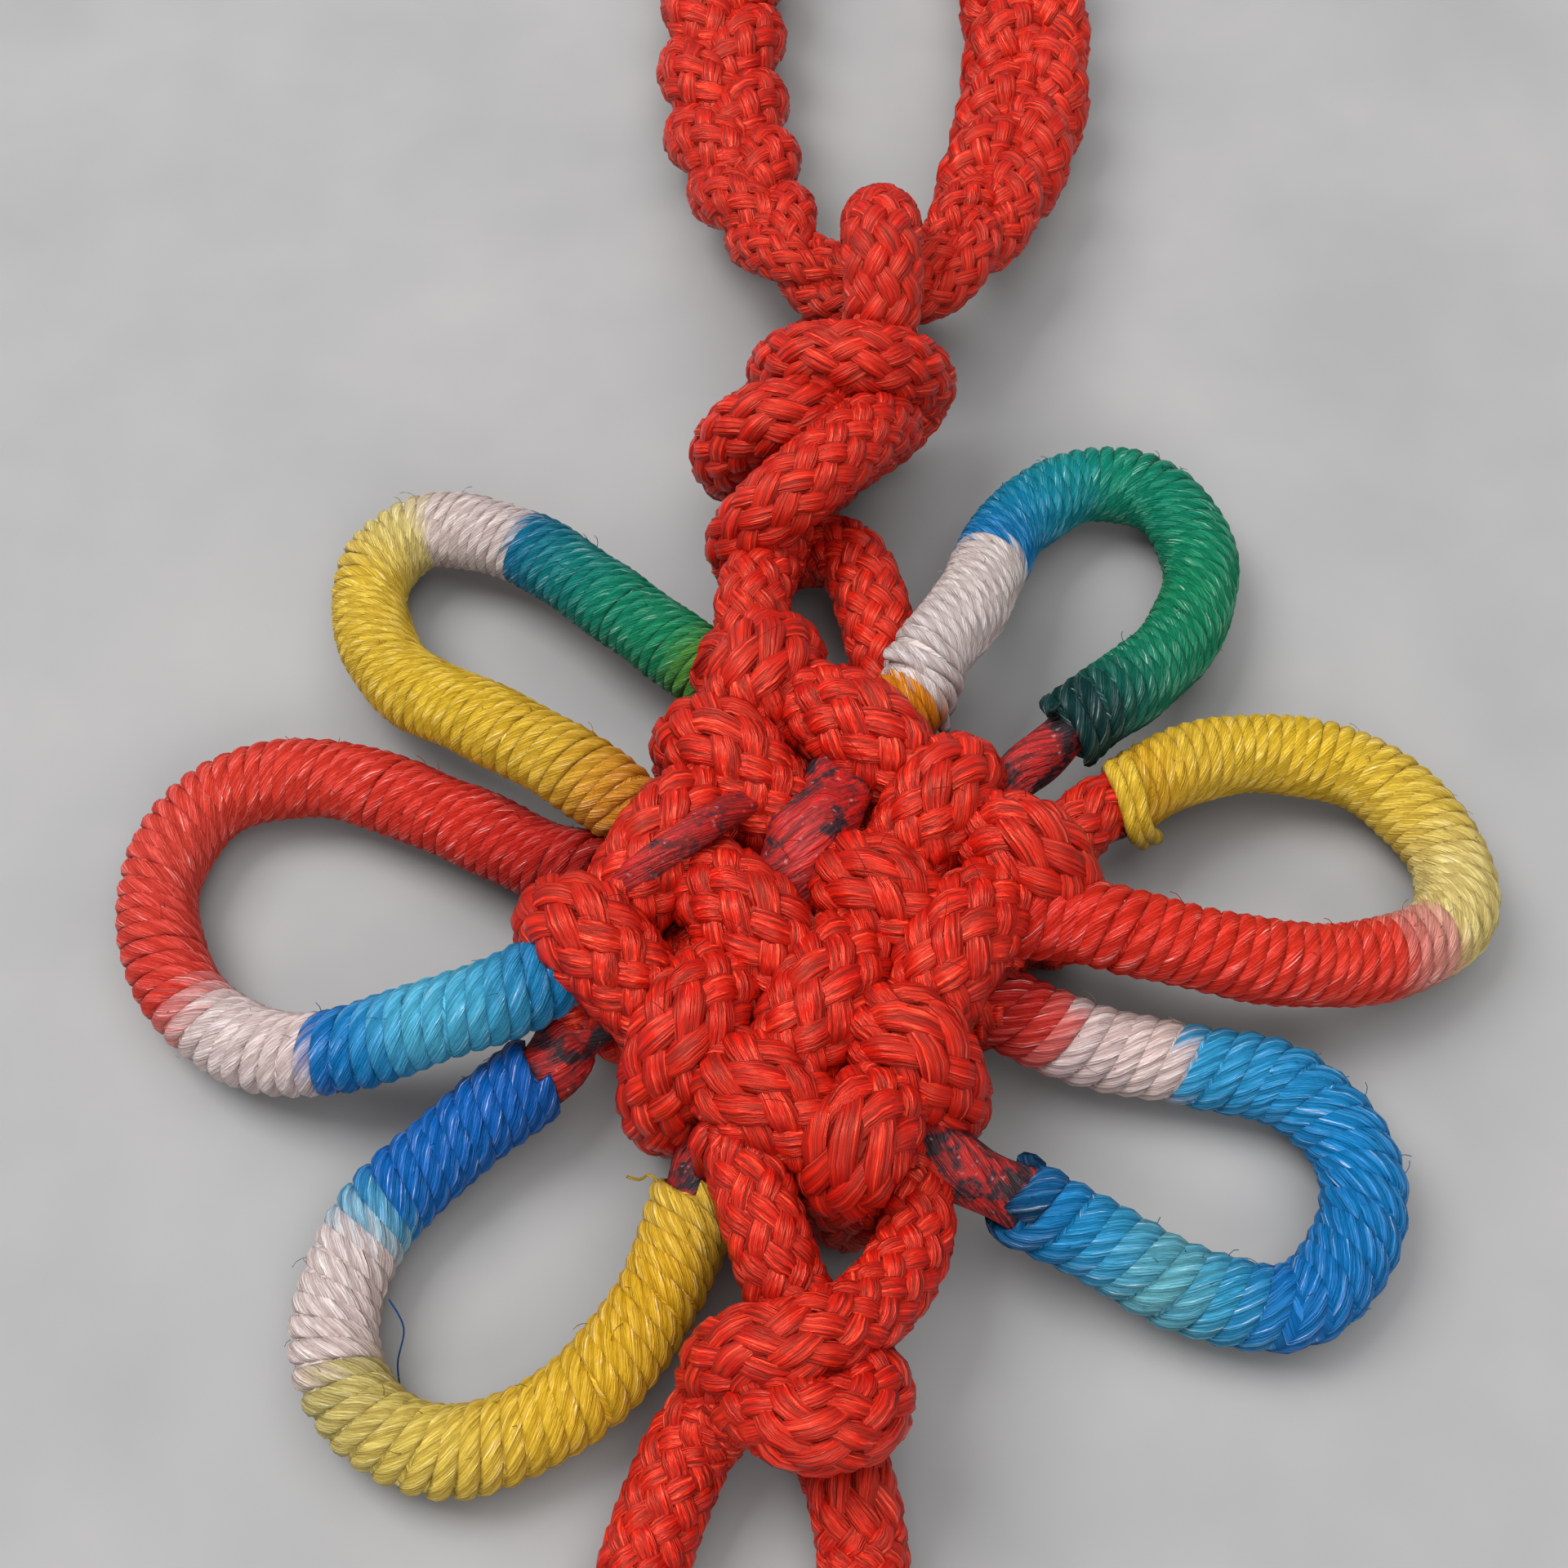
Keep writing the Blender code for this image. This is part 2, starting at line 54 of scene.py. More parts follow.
CAMERA_LENS = 54.4
CAMERA_SENSOR = 36.0

lens = bpy.data.cameras.new("camera")
lens.lens = CAMERA_LENS
lens.sensor_width = CAMERA_SENSOR
lens.clip_start = 0.002
lens.clip_end = 10.0
camera = bpy.data.objects.new("camera", lens)
down = math.radians(CAMERA_ELEVATION)
back = Vector((0.0, -math.cos(down), math.sin(down)))
camera.location = (CAMERA_TARGET + back * CAMERA_DISTANCE) * MILLIMETRE
camera.rotation_euler = (math.radians(90.0 - CAMERA_ELEVATION), 0.0, 0.0)
bpy.context.scene.collection.objects.link(camera)
bpy.context.scene.camera = camera


# Floor and light: a plain pale grey surface in soft daylight, from a window on the left, a
# weaker one in front and the bright ceiling.
def srgb(red, green, blue):
    """A colour as it looks on a screen, 0 to 255, as the linear values that a shader takes."""
    linear = []
    for value in (red, green, blue):
        share = value / 255
        linear.append(share / 12.92 if share <= 0.04045 else ((share + 0.055) / 1.055) ** 2.4)
    return (*linear, 1.0)


def placed(tree, kind, sockets=None, **settings):
    """A new node with its settings, its sockets set to a value or linked to another socket."""
    node = tree.nodes.new(kind)
    for name, value in settings.items():
        setattr(node, name, value)
    for name, value in (sockets or {}).items():
        if isinstance(value, bpy.types.NodeSocket):
            tree.links.new(value, node.inputs[name])
        else:
            node.inputs[name].default_value = value
    return node


def new_material(name):
    """An empty material tree with its Principled BSDF."""
    material = bpy.data.materials.new(name)
    material.use_nodes = True
    tree = material.node_tree
    return material, tree, tree.nodes["Principled BSDF"]


# A mix node's sockets have the same names for each type of value, so its colour ones go by number
MIX_FACTOR = 0
MIX_FIRST = 6
MIX_SECOND = 7
MIX_RESULT = 2


def blended(tree, factor, first, second, kind="MIX"):
    """The colour between two colours at the factor."""
    sockets = {MIX_FACTOR: factor, MIX_FIRST: first, MIX_SECOND: second}
    node = placed(tree, "ShaderNodeMix", sockets, data_type="RGBA", blend_type=kind)
    return node.outputs[MIX_RESULT]


def ramp_of(tree, factor, stops, interpolation="LINEAR"):
    """A colour ramp through the stops, each a place and a colour."""
    node = placed(tree, "ShaderNodeValToRGB", {"Fac": factor})
    ramp = node.color_ramp
    ramp.interpolation = interpolation
    ramp.elements[0].position, ramp.elements[0].color = stops[0]
    ramp.elements[1].position, ramp.elements[1].color = stops[-1]
    for place, colour in stops[1:-1]:
        ramp.elements.new(place).color = colour
    return node.outputs["Color"]


FLOOR_SIZE = 1.6
FLOOR_SEGMENTS = 8

surface = bmesh.new()
bmesh.ops.create_grid(
    surface, x_segments=FLOOR_SEGMENTS, y_segments=FLOOR_SEGMENTS, size=FLOOR_SIZE / 2,
)
floor_mesh = bpy.data.meshes.new("floor")
surface.to_mesh(floor_mesh)
surface.free()
floor = bpy.data.objects.new("floor", floor_mesh)
bpy.context.scene.collection.objects.link(floor)
paint, tree, shader = new_material("pale_floor")
spot = placed(tree, "ShaderNodeTexCoord").outputs["Object"]
mottle = placed(
    tree, "ShaderNodeTexNoise",
    {"Vector": spot, "Scale": 160.0, "Detail": 3.0},
).outputs["Fac"]
shade = ramp_of(tree, mottle, ((0.3, srgb(135, 135, 135)), (0.7, srgb(145, 144, 143))))
tree.links.new(shade, shader.inputs["Base Color"])
shader.inputs["Roughness"].default_value = 0.9
floor_mesh.materials.append(paint)

LIGHTS = (
    # name, place and size in metres, watts
    ("window_left", (-0.20, 0.10, 0.32), 0.22, 1.55),
    ("window_front", (0.04, -0.34, 0.24), 0.20, 0.75),
    ("ceiling", (0.08, 0.06, 0.50), 0.50, 2.0),
)
for name, place, size, watts in LIGHTS:
    lamp = bpy.data.lights.new(name, "AREA")
    lamp.size = size
    lamp.energy = watts
    light = bpy.data.objects.new(name, lamp)
    light.location = place
    light.rotation_euler = (-Vector(place)).to_track_quat("-Z", "Y").to_euler()
    bpy.context.scene.collection.objects.link(light)

world = bpy.data.worlds.new("soft_room")
world.use_nodes = True
world.node_tree.nodes["Background"].inputs["Color"].default_value = (0.93, 0.95, 1.0, 1.0)
world.node_tree.nodes["Background"].inputs["Strength"].default_value = 0.3
bpy.context.scene.world = world
bpy.context.scene.view_settings.view_transform = "Standard"


# The weave: one length of two-millimetre red nylon cord, woven four doubled lines each way
# and pulled tight. The cord is a sleeve of sixteen flat yarns braided one over, one under,
# around a core of loose filament.
TURN = 2 * math.pi
CORD_RADIUS = 1.0
OVER_RADIUS = 1.28
UNDER_RADIUS = 1.06
BACK_SHARE = 0.9
LINES_EACH_WAY = 4
WEAVE_CENTRE = (-0.28, 1.92)
STEP_ACROSS = (1.79, -1.59)
STEP_ALONG = (-1.26, -2.32)
WEAVE_LEVEL = 2.42
OVER_HEIGHT = 1.58
UNDER_HEIGHT = 0.56
BEND_REACH = 0.5
TIGHT_BENDS = {("a", 4): 0.2}
LEAD_REACH = 0.45
BACK_LEAD_REACH = 0.56
BACK_SHIFT = (0.07, -0.05)
SPLINE_STEPS = 24
UPRIGHT_LIMIT = 0.1
# How far the tying has pulled each crossing off the even grid: lines a and b, then x and y
UNEVEN = {
    (1, 1): (-0.35, 0.31), (1, 2): (0.1, 0.45), (1, 3): (0.15, 0.5), (1, 4): (-0.35, 0.4),
    (2, 1): (0.18, 0.28), (2, 2): (0.23, -0.3), (2, 3): (0.13, 0.04), (2, 4): (0.11, -0.3),
    (3, 1): (0.18, 0.1), (3, 2): (-0.11, 0.03), (3, 3): (-0.02, -0.25), (3, 4): (-0.16, -0.15),
    (4, 1): (0.3, 0.23), (4, 2): (-0.17, 0.32), (4, 3): (0.01, 0.29), (4, 4): (0.11, 0.34),
}

YARNS_EACH_WAY = 8
BRAID_PITCH = 7.2
YARN_WIDTH = 0.66
YARN_THICKNESS = 0.32
# How deep the middle of a yarn lies, and how far it rises and dips, in shares of its thickness
YARN_DEPTH = 0.74
YARN_RISE = 0.23
YARN_TAPER = 0.13
YARN_SIDES = 6
YARN_STEP = 0.15
# Where a cord would go lower than this, the floor presses it flat
REST_HEIGHT = 0.12
CORE_SHARE = 0.76
CORE_SIDES = 10
# Moves each yarn's filaments and patches of dye to another place in the noise
DYE_SHIFT = 1.37


def spline_point(before, start, end, after, t):
    """A point of the smooth curve through start and end, each row as long as the others."""
    values = []
    for p0, p1, p2, p3 in zip(before, start, end, after):
        linear = (p2 - p0) * t
        square = (2 * p0 - 5 * p1 + 4 * p2 - p3) * t * t
        cube = (3 * p1 - p0 - 3 * p2 + p3) * t * t * t
        values.append(p1 + 0.5 * (linear + square + cube))
    return values


def smooth_route(rows, closed=False):
    """Many close rows along the smooth curve through the given rows, with distances along it."""
    count = len(rows)
    spans = count if closed else count - 1
    fine = []
    for span in range(spans):
        if closed:
            picked = [rows[(span + shift) % count] for shift in (-1, 0, 1, 2)]
        else:
            picked = [rows[min(max(span + shift, 0), count - 1)] for shift in (-1, 0, 1, 2)]
        fine += [spline_point(*picked, step / SPLINE_STEPS) for step in range(SPLINE_STEPS)]
    fine.append(list(rows[0] if closed else rows[-1]))
    distances = [0.0]
    for first, second in zip(fine, fine[1:]):
        distances.append(distances[-1] + (Vector(second[:3]) - Vector(first[:3])).length)
    return fine, distances


def even_rows(rows, step, start=0.0, end=None, closed=False):
    """Rows at even distances along the smooth curve through the given rows."""
    fine, distances = smooth_route(rows, closed)
    end = distances[-1] if end is None else end
    count = max(2, round((end - start) / step))
    even = []
    index = 1
    for number in range(count + 1):
        place = start + (end - start) * number / count
        while index < len(distances) - 1 and distances[index] < place:
            index += 1
        share = (place - distances[index - 1]) / (distances[index] - distances[index - 1])
        even.append([a + (b - a) * share for a, b in zip(fine[index - 1], fine[index])])
    return even


def frames_along(rows):
    """At each row: distance, centre, forward, side, up and radius, turning as little as can be."""
    centres = [Vector(row[:3]) for row in rows]
    frames = []
    distance = 0.0
    side = None
    for index, centre in enumerate(centres):
        before = centres[max(index - 1, 0)]
        after = centres[min(index + 1, len(centres) - 1)]
        forward = (after - before).normalized()
        if side is None:
            side = forward.cross(Vector((0.0, 0.0, 1.0)))
            if side.length < UPRIGHT_LIMIT:
                side = forward.cross(Vector((0.0, 1.0, 0.0)))
        side = (side - forward * side.dot(forward)).normalized()
        up = side.cross(forward)
        distance += (centre - before).length
        frames.append((distance, centre, forward, side, up, rows[index][3]))
    return frames


def rested(spot):
    """The point, pressed flat where the floor holds it up."""
    if spot.z < REST_HEIGHT:
        return Vector((spot.x, spot.y, REST_HEIGHT * math.exp(spot.z / REST_HEIGHT - 1.0)))
    return spot


def strand(shape, rings, along, marks, shift=0.0):
    """A closed strand through rings of points. Its UV is length and place around, in that order."""
    sides = len(rings[0])
    last = len(rings) - 1
    uv = shape.loops.layers.uv.verify()
    mark_layer = shape.verts.layers.float.get("mark") or shape.verts.layers.float.new("mark")
    grid = bmesh.ops.create_grid(shape, x_segments=sides, y_segments=last, size=1.0)["verts"]
    places = {}
    for vert in grid:
        column = round((vert.co.x + 1.0) / 2 * sides)
        row = round((vert.co.y + 1.0) / 2 * last)
        places[vert] = (column, row)
    table = {place: vert for vert, place in places.items()}
    faces = {face for vert in grid for face in vert.link_faces}
    for face in faces:
        for loop in face.loops:
            column, row = places[loop.vert]
            loop[uv].uv = (along[row], column / sides + shift)
    for vert, (column, row) in places.items():
        vert.co = rested(rings[row][column % sides])
        vert[mark_layer] = marks[row]
    seam = {table[sides, row]: table[0, row] for row in range(last + 1)}
    bmesh.ops.weld_verts(shape, targetmap=seam)
    ends = [edge for edge in shape.edges if edge.is_boundary]
    bmesh.ops.holes_fill(shape, edges=ends, sides=sides)


def round_strand(shape, frames, share, sides, mark=0.0):
    """A plain round strand along the frames, its radius a share of theirs."""
    rings = []
    for _, centre, _, side, up, radius in frames:
        corners = [TURN * corner / sides for corner in range(sides)]
        rings.append([centre + (side * math.cos(a) + up * math.sin(a)) * radius * share for a in corners])
    strand(shape, rings, [row[0] for row in frames], [mark] * len(frames))


def braid_yarn(shape, frames, way, start, crossings, pitch, width, shift):
    """One yarn of a braid, wound one way around the cord, over and under those of the other way."""
    rings = []
    along = []
    marks = []
    for distance, centre, forward, side, up, radius in frames:
        turn = way * TURN * distance / pitch + start
        over = way * math.cos(TURN * crossings * distance / pitch)
        level = radius * (1.0 - YARN_THICKNESS * (YARN_DEPTH - YARN_RISE * over))
        breadth = width * (1.0 + YARN_TAPER * (over - 1.0))
        slope = math.atan2(TURN * radius, pitch)
        ring = []
        for corner in range(YARN_SIDES):
            angle = TURN * corner / YARN_SIDES
            across = math.cos(angle) * radius * breadth / 2
            out = level + math.sin(angle) * radius * YARN_THICKNESS / 2
            around = turn + across * math.cos(slope) / level
            outward = side * math.cos(around) + up * math.sin(around)
            ring.append(centre - forward * way * across * math.sin(slope) + outward * out)
        rings.append(ring)
        along.append(distance / math.cos(slope))
        # The mark is 1 where the yarn rides over and 0 where it dips under; the cord material paints shade by
        # it.
        marks.append(0.5 + 0.5 * over)
    strand(shape, rings, along, marks, shift)


def braid(shape, rows, each_way=YARNS_EACH_WAY, pitch=BRAID_PITCH, width=YARN_WIDTH):
    """A braided cord: yarns wound both ways, one over and one under, around a plain core."""
    frames = frames_along(rows)
    # The core keeps mark 0, so the cord material gives it painted shade, as it lies under the yarns.
    round_strand(shape, frames, CORE_SHARE, CORE_SIDES)
    for way in (1, -1):
        for yarn in range(each_way):
            start = TURN * yarn / each_way
            shift = way * (yarn + 1) * DYE_SHIFT
            braid_yarn(shape, frames, way, start, each_way, pitch, width, shift)


def finished(name, shape, material, nodes):
    """Make a named piece from the bmesh, in metres, that stands for CAD nodes and takes a slot."""
    bmesh.ops.recalc_face_normals(shape, faces=shape.faces)
    bmesh.ops.transform(shape, matrix=Matrix.Scale(MILLIMETRE, 4), verts=shape.verts)
    mesh = bpy.data.meshes.new(name)
    shape.to_mesh(mesh)
    shape.free()
    mesh.shade_smooth()
    mesh.materials.append(material)
    piece = bpy.data.objects.new(name, mesh)
    bpy.context.scene.collection.objects.link(piece)
    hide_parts(*nodes)
    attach(piece, "root")
    return piece


def crossing(across, along):
    """Where line number across of family a meets line number along of family b."""
    middle = (LINES_EACH_WAY + 1) / 2
    nearest = [min(max(round(number), 1), LINES_EACH_WAY) for number in (across, along)]
    x, y = UNEVEN[tuple(nearest)]
    x += WEAVE_CENTRE[0] + (across - middle) * STEP_ACROSS[0] + (along - middle) * STEP_ALONG[0]
    y += WEAVE_CENTRE[1] + (across - middle) * STEP_ACROSS[1] + (along - middle) * STEP_ALONG[1]
    return x, y


def place_on_line(family, number, along):
    """Where a line of either family is, at a place along it counted in crossings."""
    if family == "a":
        return crossing(number, along)
    return crossing(along, number)


def layered(x, y, height, layer, radius):
    """A row above or below the middle of the weave, the back ones a little to one side."""
    if layer < 0:
        x += BACK_SHIFT[0]
        y += BACK_SHIFT[1]
        radius *= BACK_SHARE
    return x, y, WEAVE_LEVEL + layer * height, radius


def weave_row(family, number, along, layer):
    """A row of the route at a crossing: family a is the outer one where the numbers' sum is even."""
    x, y = place_on_line(family, number, along)
    outer = (number + along) % 2 == (0 if family == "a" else 1)
    height = OVER_HEIGHT if outer else UNDER_HEIGHT
    radius = OVER_RADIUS if outer else UNDER_RADIUS
    return layered(x, y, height, layer, radius)


def lead_row(family, number, end, layer, radius):
    """The row just outside the weave where a strand of a line leaves it."""
    last = 1 if end < 0 else LINES_EACH_WAY
    reach = LEAD_REACH if layer > 0 else BACK_LEAD_REACH
    x, y = place_on_line(family, number, last + end * reach)
    return layered(x, y, UNDER_HEIGHT, layer, radius)


def doubled_line(family, number):
    """One line of the weave: along its front, round its tight bend and back underneath."""
    bend_end = -1 if (number % 2 == 1) == (family == "a") else 1
    order = range(1, LINES_EACH_WAY + 1)
    if bend_end < 0:
        order = reversed(order)
    order = list(order)
    front = [weave_row(family, number, along, 1) for along in order]
    rear = [weave_row(family, number, along, -1) for along in reversed(order)]
    reach = TIGHT_BENDS.get((family, number), BEND_REACH)
    x, y = place_on_line(family, number, order[-1] + bend_end * reach)
    bend = (x, y, WEAVE_LEVEL, CORD_RADIUS)
    front_lead = lead_row(family, number, -bend_end, 1, UNDER_RADIUS)
    rear_lead = lead_row(family, number, -bend_end, -1, UNDER_RADIUS)
    return [front_lead, *front, bend, *rear, rear_lead]


def root_rows(root, radius):
    """Two rows that carry a strand out of the weave: inside the last crossing, then past it."""
    family, number, end, layer = root
    last = 1 if end < 0 else LINES_EACH_WAY
    x, y = place_on_line(family, number, last)
    inside = layered(x, y, UNDER_HEIGHT, layer, radius)
    return [inside, lead_row(family, number, end, layer, radius)]


def mapped(tree, value, from_min=0.0, from_max=1.0, to_min=0.0, to_max=1.0):
    """The value moved from one span to another, and held inside it."""
    sockets = {
        "Value": value, "From Min": from_min, "From Max": from_max, "To Min": to_min, "To Max": to_max,
    }
    return placed(tree, "ShaderNodeMapRange", sockets).outputs["Result"]


def give_relief(tree, shader, height, depth, strength=1.0):
    """Let the height from 0 to 1 stand out of the surface by the depth in metres."""
    sockets = {"Height": height, "Strength": strength, "Distance": depth}
    bump = placed(tree, "ShaderNodeBump", sockets)
    tree.links.new(bump.outputs["Normal"], shader.inputs["Normal"])


def fibre_group():
    """Fine filaments twisted along a strand: how light each one is, their height, and dye patches; where
    plies are given, Light holds painted shade in the hollows between them.
    """
    group = bpy.data.node_groups.new("fibre", "ShaderNodeTree")
    inputs = (
        ("Along", 0.0), ("Around", 0.0), ("Filaments", 14.0), ("Run", 1.4),
        ("Twist", 0.0), ("Plies", 0.0), ("Ply Depth", 0.0),
    )
    for name, default in inputs:
        socket = group.interface.new_socket(name, in_out="INPUT", socket_type="NodeSocketFloat")
        socket.default_value = default
    for name in ("Light", "Height", "Patch"):
        group.interface.new_socket(name, in_out="OUTPUT", socket_type="NodeSocketFloat")

    def sum_of(operation, *values, **settings):
        """The result of one sum on the values."""
        sockets = dict(enumerate(values))
        return placed(group, "ShaderNodeMath", sockets, operation=operation, **settings).outputs[0]

    inner = placed(group, "NodeGroupInput").outputs
    wound = sum_of("MULTIPLY_ADD", inner["Along"], inner["Twist"], inner["Around"])
    length = sum_of("DIVIDE", inner["Along"], inner["Run"])
    width = sum_of("MULTIPLY", wound, inner["Filaments"])
    where = placed(group, "ShaderNodeCombineXYZ", {"X": length, "Y": width}).outputs["Vector"]
    fine = placed(
        group, "ShaderNodeTexNoise",
        {"Vector": where, "Scale": 1.0, "Detail": 3.0, "Roughness": 0.6},
    ).outputs["Fac"]
    wide = placed(
        group, "ShaderNodeTexNoise",
        {"Vector": where, "Scale": 0.23, "Detail": 2.0},
    ).outputs["Fac"]
    light = mapped(group, fine, from_min=0.36, from_max=0.66)
    # The ply hollows: Light is lowered there as painted shade, and Height as a real dip for the bump.
    wave = sum_of("SINE", sum_of("MULTIPLY", sum_of("MULTIPLY", wound, inner["Plies"]), TURN))
    hollow = mapped(group, wave, from_min=-1.0, from_max=0.5, to_min=1.0, to_max=0.0)
    dip = sum_of("MULTIPLY", hollow, inner["Ply Depth"])
    outer = placed(group, "NodeGroupOutput")
    group.links.new(sum_of("SUBTRACT", light, dip, use_clamp=True), outer.inputs["Light"])
    group.links.new(sum_of("SUBTRACT", fine, dip), outer.inputs["Height"])
    group.links.new(mapped(group, wide, from_min=0.35, from_max=0.65), outer.inputs["Patch"])
    return group


fibre = fibre_group()


def yarn_nodes(tree, **values):
    """The fibre group on a strand's own UV, with its values set by their names."""
    uv = placed(tree, "ShaderNodeSeparateXYZ", {"Vector": placed(tree, "ShaderNodeUVMap").outputs["UV"]})
    node = placed(tree, "ShaderNodeGroup", node_tree=fibre)
    tree.links.new(uv.outputs["X"], node.inputs["Along"])
    tree.links.new(uv.outputs["Y"], node.inputs["Around"])
    for name, value in values.items():
        node.inputs[name.replace("_", " ").title()].default_value = value
    return node.outputs


def cord_material(name, deep, middle, bright):
    """Shiny red nylon: filaments of uneven tone with painted glints on the brightest, and painted shade where
    a yarn dips under.
    """
    material, tree, shader = new_material(name)
    yarn = yarn_nodes(tree, filaments=20.0, run=1.1)
    body = blended(tree, yarn["Patch"], middle, bright)
    streaked = blended(tree, yarn["Light"], deep, body)
    # Painted shade: the colour goes towards deep red where the mark says a yarn dips under, and on the core.
    mark = placed(tree, "ShaderNodeAttribute", attribute_name="mark").outputs["Fac"]
    painted_shade_factor = mapped(tree, mark, from_max=0.6, to_min=0.35)
    coloured = blended(tree, painted_shade_factor, deep, streaked)
    # Painted glints: the brightest filaments are blended towards a pale orange highlight colour.
    painted_glint = mapped(tree, yarn["Light"], from_min=0.86, to_max=0.3)
    with_painted_glints = blended(tree, painted_glint, coloured, srgb(255, 130, 96))
    tree.links.new(with_painted_glints, shader.inputs["Base Color"])
    rough = mapped(tree, yarn["Light"], to_min=0.55, to_max=0.27)
    tree.links.new(rough, shader.inputs["Roughness"])
    give_relief(tree, shader, yarn["Height"], 0.00014)
    shader.inputs["Specular IOR Level"].default_value = 0.7
    shader.inputs["Specular Tint"].default_value = srgb(255, 180, 150)
    return material


red_cord = cord_material("red_cord", srgb(124, 6, 4), srgb(202, 17, 8), srgb(228, 42, 20))

# Family a's second line lies bare where it passes over family b's second line: between these
# rows of its route, and the braid reaches a little way under both ends of that length
BARE_LINE = ("a", 2)
BARE_FROM = 1
BARE_TO = 3
BARE_TUCK = 0.55

# The cords on their way to the ears fill the middle of the weave, between the lines
INNER_LINES = (1.5, 2.5, 3.5)
INNER_REACH = (1.2, 2.4, 3.8)
INNER_RADIUS = 0.95
LOOSE_BRAID = (
    # where the braid is still loose, between the weave and the right ear's winding
    (5.0, 3.7, 2.3, 0.8), (5.54, 4.24, 2.4, 0.85), (6.24, 5.05, 2.45, 0.85), (6.8, 5.5, 2.25, 0.8),
    (7.5, 5.95, 2.0, 0.7),
)
FUZZ_STEP = 0.12
FUZZ_SIDES = 4
FUZZ_RADIUS = 0.009
FUZZ_ROOT = 0.12
# A stray fibre's curve, in shares of its length: how far it stands off, and how far it leans
FUZZ_BEND = ((0.0, 0.0), (0.3, 0.25), (0.5, 0.6), (0.55, 1.0))
WEAVE_FUZZ = 22
WEAVE_FUZZ_SPREAD = (0.8, 4.2)
WEAVE_FUZZ_LENGTHS = (0.35, 0.9)


def fibre_strand(shape, points, radius, mark=1.0, sides=FUZZ_SIDES):
    """One loose fibre or thread end through the points."""
    rows = [(*point, radius) for point in points]
    round_strand(shape, frames_along(even_rows(rows, FUZZ_STEP)), 1.0, sides, mark)


def stray_fibre(shape, root, outward, sideways, length, mark=1.0):
    """A broken filament that stands off the surface and bends over."""
    points = [root + (outward * rise + sideways * reach) * length for rise, reach in FUZZ_BEND]
    fibre_strand(shape, points, FUZZ_RADIUS, mark)


for family in "ab":
    weave = bmesh.new()
    chance = random.Random(family)
    for _ in range(WEAVE_FUZZ):
        x, y = crossing(chance.uniform(*WEAVE_FUZZ_SPREAD), chance.uniform(*WEAVE_FUZZ_SPREAD))
        root = Vector((x, y, WEAVE_LEVEL + OVER_HEIGHT + OVER_RADIUS - FUZZ_ROOT))
        heading = chance.uniform(0.0, TURN)
        sideways = Vector((math.cos(heading), math.sin(heading), 0.0))
        length = chance.uniform(*WEAVE_FUZZ_LENGTHS)
        stray_fibre(weave, root, Vector((0.0, 0.0, 1.0)), sideways, length)
    for number in range(1, LINES_EACH_WAY + 1):
        rows = doubled_line(family, number)
        if (family, number) == BARE_LINE:
            reached = smooth_route(rows)[1]
            bare_start = reached[BARE_FROM * SPLINE_STEPS]
            bare_end = reached[BARE_TO * SPLINE_STEPS]
            braid(weave, even_rows(rows, YARN_STEP, 0.0, bare_start + BARE_TUCK))
            braid(weave, even_rows(rows, YARN_STEP, bare_end - BARE_TUCK, reached[-1]))
        else:
            braid(weave, even_rows(rows, YARN_STEP))
    if family == "a":
        for number in INNER_LINES:
            places = [place_on_line(family, number, along) for along in INNER_REACH]
            inner = [(x, y, WEAVE_LEVEL, INNER_RADIUS) for x, y in places]
            braid(weave, even_rows(inner, YARN_STEP))
    else:
        braid(weave, even_rows(LOOSE_BRAID, YARN_STEP))
    finished(f"weave_{family}", weave, red_cord, ["knot_cord"])


# The upper pair: both cords leave the top of the weave, cross in a double connection knot and
# close in a small loop that holds the plait.
UPPER_ROUTE = (
    (-1.7, 9.0, 3.3, 0.98), (-1.65, 10.6, 3.3, 0.98), (-1.3, 12.2, 2.7, 0.98), (-0.8, 14.0, 1.9, 1.0),
    (0.4, 16.0, 1.4, 1.0), (1.9, 17.2, 1.6, 1.0), (2.6, 17.6, 2.7, 1.0), (2.2, 17.1, 4.0, 1.02),
    (1.1, 16.8, 4.7, 1.05), (-0.2, 17.0, 4.5, 1.02), (-0.9, 17.6, 3.4, 0.98), (-0.9, 18.1, 2.1, 0.95),
    (-0.5, 19.3, 1.2, 0.95), (0.3, 20.8, 0.98, 0.95), (1.2, 21.9, 1.1, 0.95), (1.5, 22.3, 2.3, 1.0),
    (1.6, 22.0, 3.8, 1.05), (1.6, 21.1, 4.9, 1.1), (1.6, 19.8, 5.3, 1.1), (1.6, 18.6, 4.8, 1.05),
    (1.3, 17.6, 3.5, 1.0), (0.9, 16.7, 3.1, 0.98), (0.2, 15.9, 3.7, 1.0), (-0.7, 15.3, 4.4, 1.03),
    (-1.7, 15.2, 4.1, 1.03), (-2.35, 15.3, 2.9, 1.0), (-2.0, 15.6, 1.7, 0.98), (-0.9, 15.8, 1.2, 0.95),
    (0.8, 16.3, 1.9, 1.0), (1.7, 16.1, 3.0, 1.0), (1.1, 15.0, 4.1, 1.02), (0.0, 13.6, 4.5, 1.05),
    (-1.1, 12.7, 4.2, 1.03), (-1.9, 12.5, 3.0, 1.0), (-1.6, 12.9, 1.6, 0.98), (-0.3, 13.4, 1.3, 0.98),
    (0.7, 12.8, 1.9, 0.98), (1.25, 11.2, 2.2, 0.98), (1.6, 9.2, 2.1, 0.95),
)

upper = bmesh.new()
upper_start = root_rows(("b", 1, -1, 1), UNDER_RADIUS)
upper_end = root_rows(("a", 2, -1, -1), UNDER_RADIUS)
braid(upper, even_rows([*upper_start, *UPPER_ROUTE, *upper_end[::-1]], YARN_STEP))
finished("upper_knot", upper, red_cord, ["knot_cord"])


